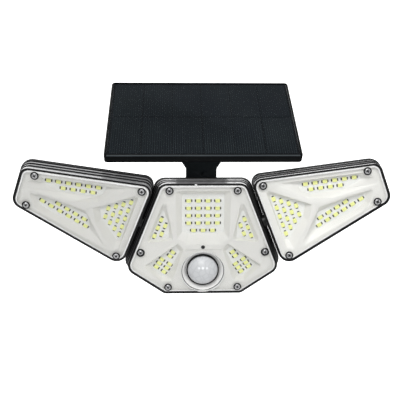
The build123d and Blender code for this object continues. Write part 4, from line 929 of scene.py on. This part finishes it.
def make_screws(which):
    s = SIDE[which]
    p = Piece(which + "_screw_set", PLACE[which])
    turns = (0.4, 1.1, 0.1, 0.75, 1.3, 0.55)
    for i, (x, y) in enumerate(CENTRE_SCREWS if which == "centre" else WING_SCREWS):
        low = which == "centre" and y < 0 and y > -60
        base = 3.8 if low else COVER_FRONT
        screw(p, s * x, y, base, base + (1.4 if low else 0.9), 2.15, turns[i], shade_ring=not low)
        # dark ring filling the cover's counterbore round the screw: painted shade
        if low:
            w = [p.ring(circle(s * x, y, rr, 32), z) for rr, z in ((1.95, base + 0.1), (2.9, base + 0.15), (3.0, COVER_FRONT - 0.1), (3.1, COVER_FRONT + 0.06), (3.25, COVER_FRONT + 0.02))]
            p.loft(w, 1)
        c = [p.ring(circle(s * x, y, 1.35, 16), z) for z in (base, -6.8)]
        p.loft(c, 0)
        p.cap(c[-1], 0)
    return p.make([M["steel"], M["rubber_and_painted_shade"]], BODY[which], [which + "_screws"], angle=30)


for which in ("centre", "left", "right"):
    make_housing(which)
    make_reflector(which)
    make_cover(which)
    make_leds(which)
    make_screws(which)
    finish_node(which + "_gasket", M["rubber_and_painted_shade"])
    finish_node(which + "_led_board", M["board"])
for s in ("left", "right"):
    finish_node(s + "_shaft", M["nylon"])
    finish_node(s + "_shaft_clip", M["clip"])

# ---------------------------------------------------------------------------
# Motion sensor
# ---------------------------------------------------------------------------
p = Piece("pir_collar")
rings = [
    p.ring(circle(0, PIR_Y, rr, 72), z)
    for rr, z in ((12.6, BOARD), (12.5, 0.9), (12.42, 1.3), (12.25, 1.46), (12.0, 1.5), (11.8, 1.4), (11.65, 1.1), (11.6, BOARD))
]
p.loft(rings)
p.strip(rings[-1], rings[0])
p.make([M["ring"]], "head", ["pir_ring"], angle=40)

p = Piece("pir_dome")
ball = (PIR_DOME_R**2 + (PIR_DOME_TOP - 1.6) ** 2) / (2 * (PIR_DOME_TOP - 1.6))
arc_top = []
steps = 14
full = atan2(PIR_DOME_R, ball - (PIR_DOME_TOP - 1.6))
rings = [p.ring(circle(0, PIR_Y, PIR_DOME_R, 72), BOARD), p.ring(circle(0, PIR_Y, PIR_DOME_R, 72), 1.5)]
for i in range(steps):
    t = full * (1 - i / steps)
    rings.append(p.ring(circle(0, PIR_Y, ball * sin(t), 72), PIR_DOME_TOP - ball * (1 - cos(t))))
p.loft(rings)
tip = len(p.v)
p.v.append(face(0, PIR_Y, PIR_DOME_TOP))
for i in range(72):
    p.f.append((rings[-1][i], rings[-1][(i + 1) % 72], tip))
    p.m.append(0)
inner = [p.ring(circle(0, PIR_Y, PIR_DOME_R - 0.9, 72), BOARD), p.ring(circle(0, PIR_Y, PIR_DOME_R - 0.9, 72), 1.5)]
for i in range(1, steps):
    t = full * (1 - i / steps)
    inner.append(p.ring(circle(0, PIR_Y, (ball - 0.9) * sin(t) * 0.97, 72), PIR_DOME_TOP - 0.9 - (ball - 0.9) * (1 - cos(t))))
p.strip(rings[0], inner[0])
p.loft(inner)
p.cap(inner[-1])
p.make([M["dome"]], "head", ["pir_lens"], angle=60)

finish_node("pir_sensor", M["can"])

# light sensor in its dark well
p = Piece("light_sensor_well")
rings = [p.ring(circle(0, -35.8, rr, 28), z) for rr, z in ((1.5, 2.0), (1.5, 2.9), (1.46, 2.95), (1.36, 2.93), (1.3, 2.8))]
p.loft(rings, 0)
lens = [p.ring(circle(0, -35.8, rr, 28), z) for rr, z in ((1.28, BOARD), (1.28, 2.7), (1.1, 2.84), (0.7, 2.9))]
p.loft(lens, 1)
p.cap(lens[-1], 1)
p.cap(lens[0], 1)
p.make([M["ring"], M["photocell"]], "head", ["light_sensor"], angle=40)

# ---------------------------------------------------------------------------
# Battery box and what is in it
# ---------------------------------------------------------------------------
refine("battery_box", "battery_box_case", M["shell"], "head", 0.5)
refine("battery_box_screws", "battery_box_screw_set", M["steel"], "head", 0.18)
refine("lamp_grommet", "lamp_lead_grommet", M["rubber_and_painted_shade"], "head", 0.4)
refine("mode_button", "mode_push_button", M["button"], "button", 0.35)
finish_node("control_board", M["green"])
finish_node("battery_cells", M["cell_sleeve"])
finish_node("battery_holder", M["holder"])

# ---------------------------------------------------------------------------
# Bracket and hinges
# ---------------------------------------------------------------------------
refine("wall_bracket", "bracket_casting", M["bracket"], "bracket", 0.6)
refine("lamp_hinge_bolt", "lamp_hinge_bolt_eased", M["bolt"], "bracket", 0.3)
refine("lamp_hinge_nut", "lamp_hinge_nut_eased", M["bolt"], "bracket", 0.3)
refine("panel_hinge_bolt", "panel_hinge_bolt_eased", M["bolt"], "bracket", 0.3)
refine("panel_hinge_nut", "panel_hinge_nut_eased", M["bolt"], "bracket", 0.3)

# ---------------------------------------------------------------------------
# Panel
# ---------------------------------------------------------------------------
PANEL_W, PANEL_D, PANEL_T = 144.4, 89.5, 7.0


def rect(inset, r):
    w, d = PANEL_W / 2 - inset, PANEL_D / 2 - inset
    return rounded([(-w, -d), (w, -d), (w, d), (-w, d)], [r] * 4, 8)


p = Piece("panel_tray", panel)
profile = [
    (3.0, 1.2, -7.0), (0.5, 2.2, -7.0), (0.12, 2.4, -6.85), (0.0, 2.4, -6.4), (0.0, 2.4, -1.25), (0.12, 2.35, -0.95), (0.85, 1.9, -0.22),
    (1.1, 1.8, -0.05), (1.35, 1.7, 0.0), (1.62, 1.5, -0.05), (1.75, 1.4, -0.25), (1.8, 1.4, -1.8), (3.0, 1.2, -1.8), (3.0, 1.2, -7.0),
]
rings = [p.ring(rect(i, r), z) for i, r, z in profile[:-1]]
p.loft(rings)
p.strip(rings[-1], rings[0])
# the eased front edge is painted a lighter grey: a painted highlight line
for i, f in enumerate(p.f):
    at = [(p.v[k] * 1000 - PANEL_O) for k in f]
    if all(a.dot(PANEL_Y) < 0.9 - PANEL_D / 2 and a.dot(PANEL_N) > -0.97 for a in at) and all(abs(a.x) < PANEL_W / 2 - 0.5 for a in at):
        p.m[i] = 1
p.make([M["panel"], M["panel_edge"]], "panel", ["panel_frame"], angle=30)

finish_node("panel_backsheet", M["backsheet"])
finish_node("solar_cells", M["cells"])
finish_node("panel_glaze", M["glaze"])
refine("panel_back_cover", "panel_rear_cover", M["panel"], "panel", 0.4)
refine("panel_screws", "panel_screw_set", M["steel"], "panel", 0.15)
refine("panel_grommet", "panel_lead_grommet", M["rubber_and_painted_shade"], "panel", 0.4)

# ---------------------------------------------------------------------------
# Stage: pale floor that sweeps up behind
# ---------------------------------------------------------------------------
stage_mat = bpy.data.materials.new("stage_white")
stage_mat.use_nodes = True
sb = stage_mat.node_tree.nodes["Principled BSDF"]
sb.inputs["Base Color"].default_value = (0.9, 0.9, 0.9, 1)
sb.inputs["Roughness"].default_value = 0.9
sb.inputs["Emission Color"].default_value = (1, 1, 1, 1)
where = stage_mat.node_tree.nodes.new("ShaderNodeTexCoord")
parts_of = stage_mat.node_tree.nodes.new("ShaderNodeSeparateXYZ")
rise = stage_mat.node_tree.nodes.new("ShaderNodeMapRange")
rise.inputs["From Min"].default_value, rise.inputs["From Max"].default_value = -0.25, 0.2
rise.inputs["To Min"].default_value, rise.inputs["To Max"].default_value = 0.0, 0.85
stage_mat.node_tree.links.new(where.outputs["Object"], parts_of.inputs[0])
stage_mat.node_tree.links.new(parts_of.outputs["Y"], rise.inputs["Value"])
stage_mat.node_tree.links.new(rise.outputs["Result"], sb.inputs["Emission Strength"])
verts, faces = [], []
path = [(-1.5, -0.42), (1.1, -0.42)]
for i in range(1, 13):
    t = i / 12 * pi / 2
    path.append((1.1 + 0.5 * sin(t), -0.42 + 0.5 * (1 - cos(t))))
path.append((1.6, 1.6))
for y, z in path:
    verts += [(-3.0, y, z), (3.0, y, z)]
for i in range(len(path) - 1):
    faces.append((2 * i, 2 * i + 1, 2 * i + 3, 2 * i + 2))
me = bpy.data.meshes.new("sweep")
me.from_pydata(verts, [], faces)
me.materials.append(stage_mat)
me.polygons.foreach_set("use_smooth", [True] * len(me.polygons))
sweep = bpy.data.objects.new("sweep", me)
scene.collection.objects.link(sweep)
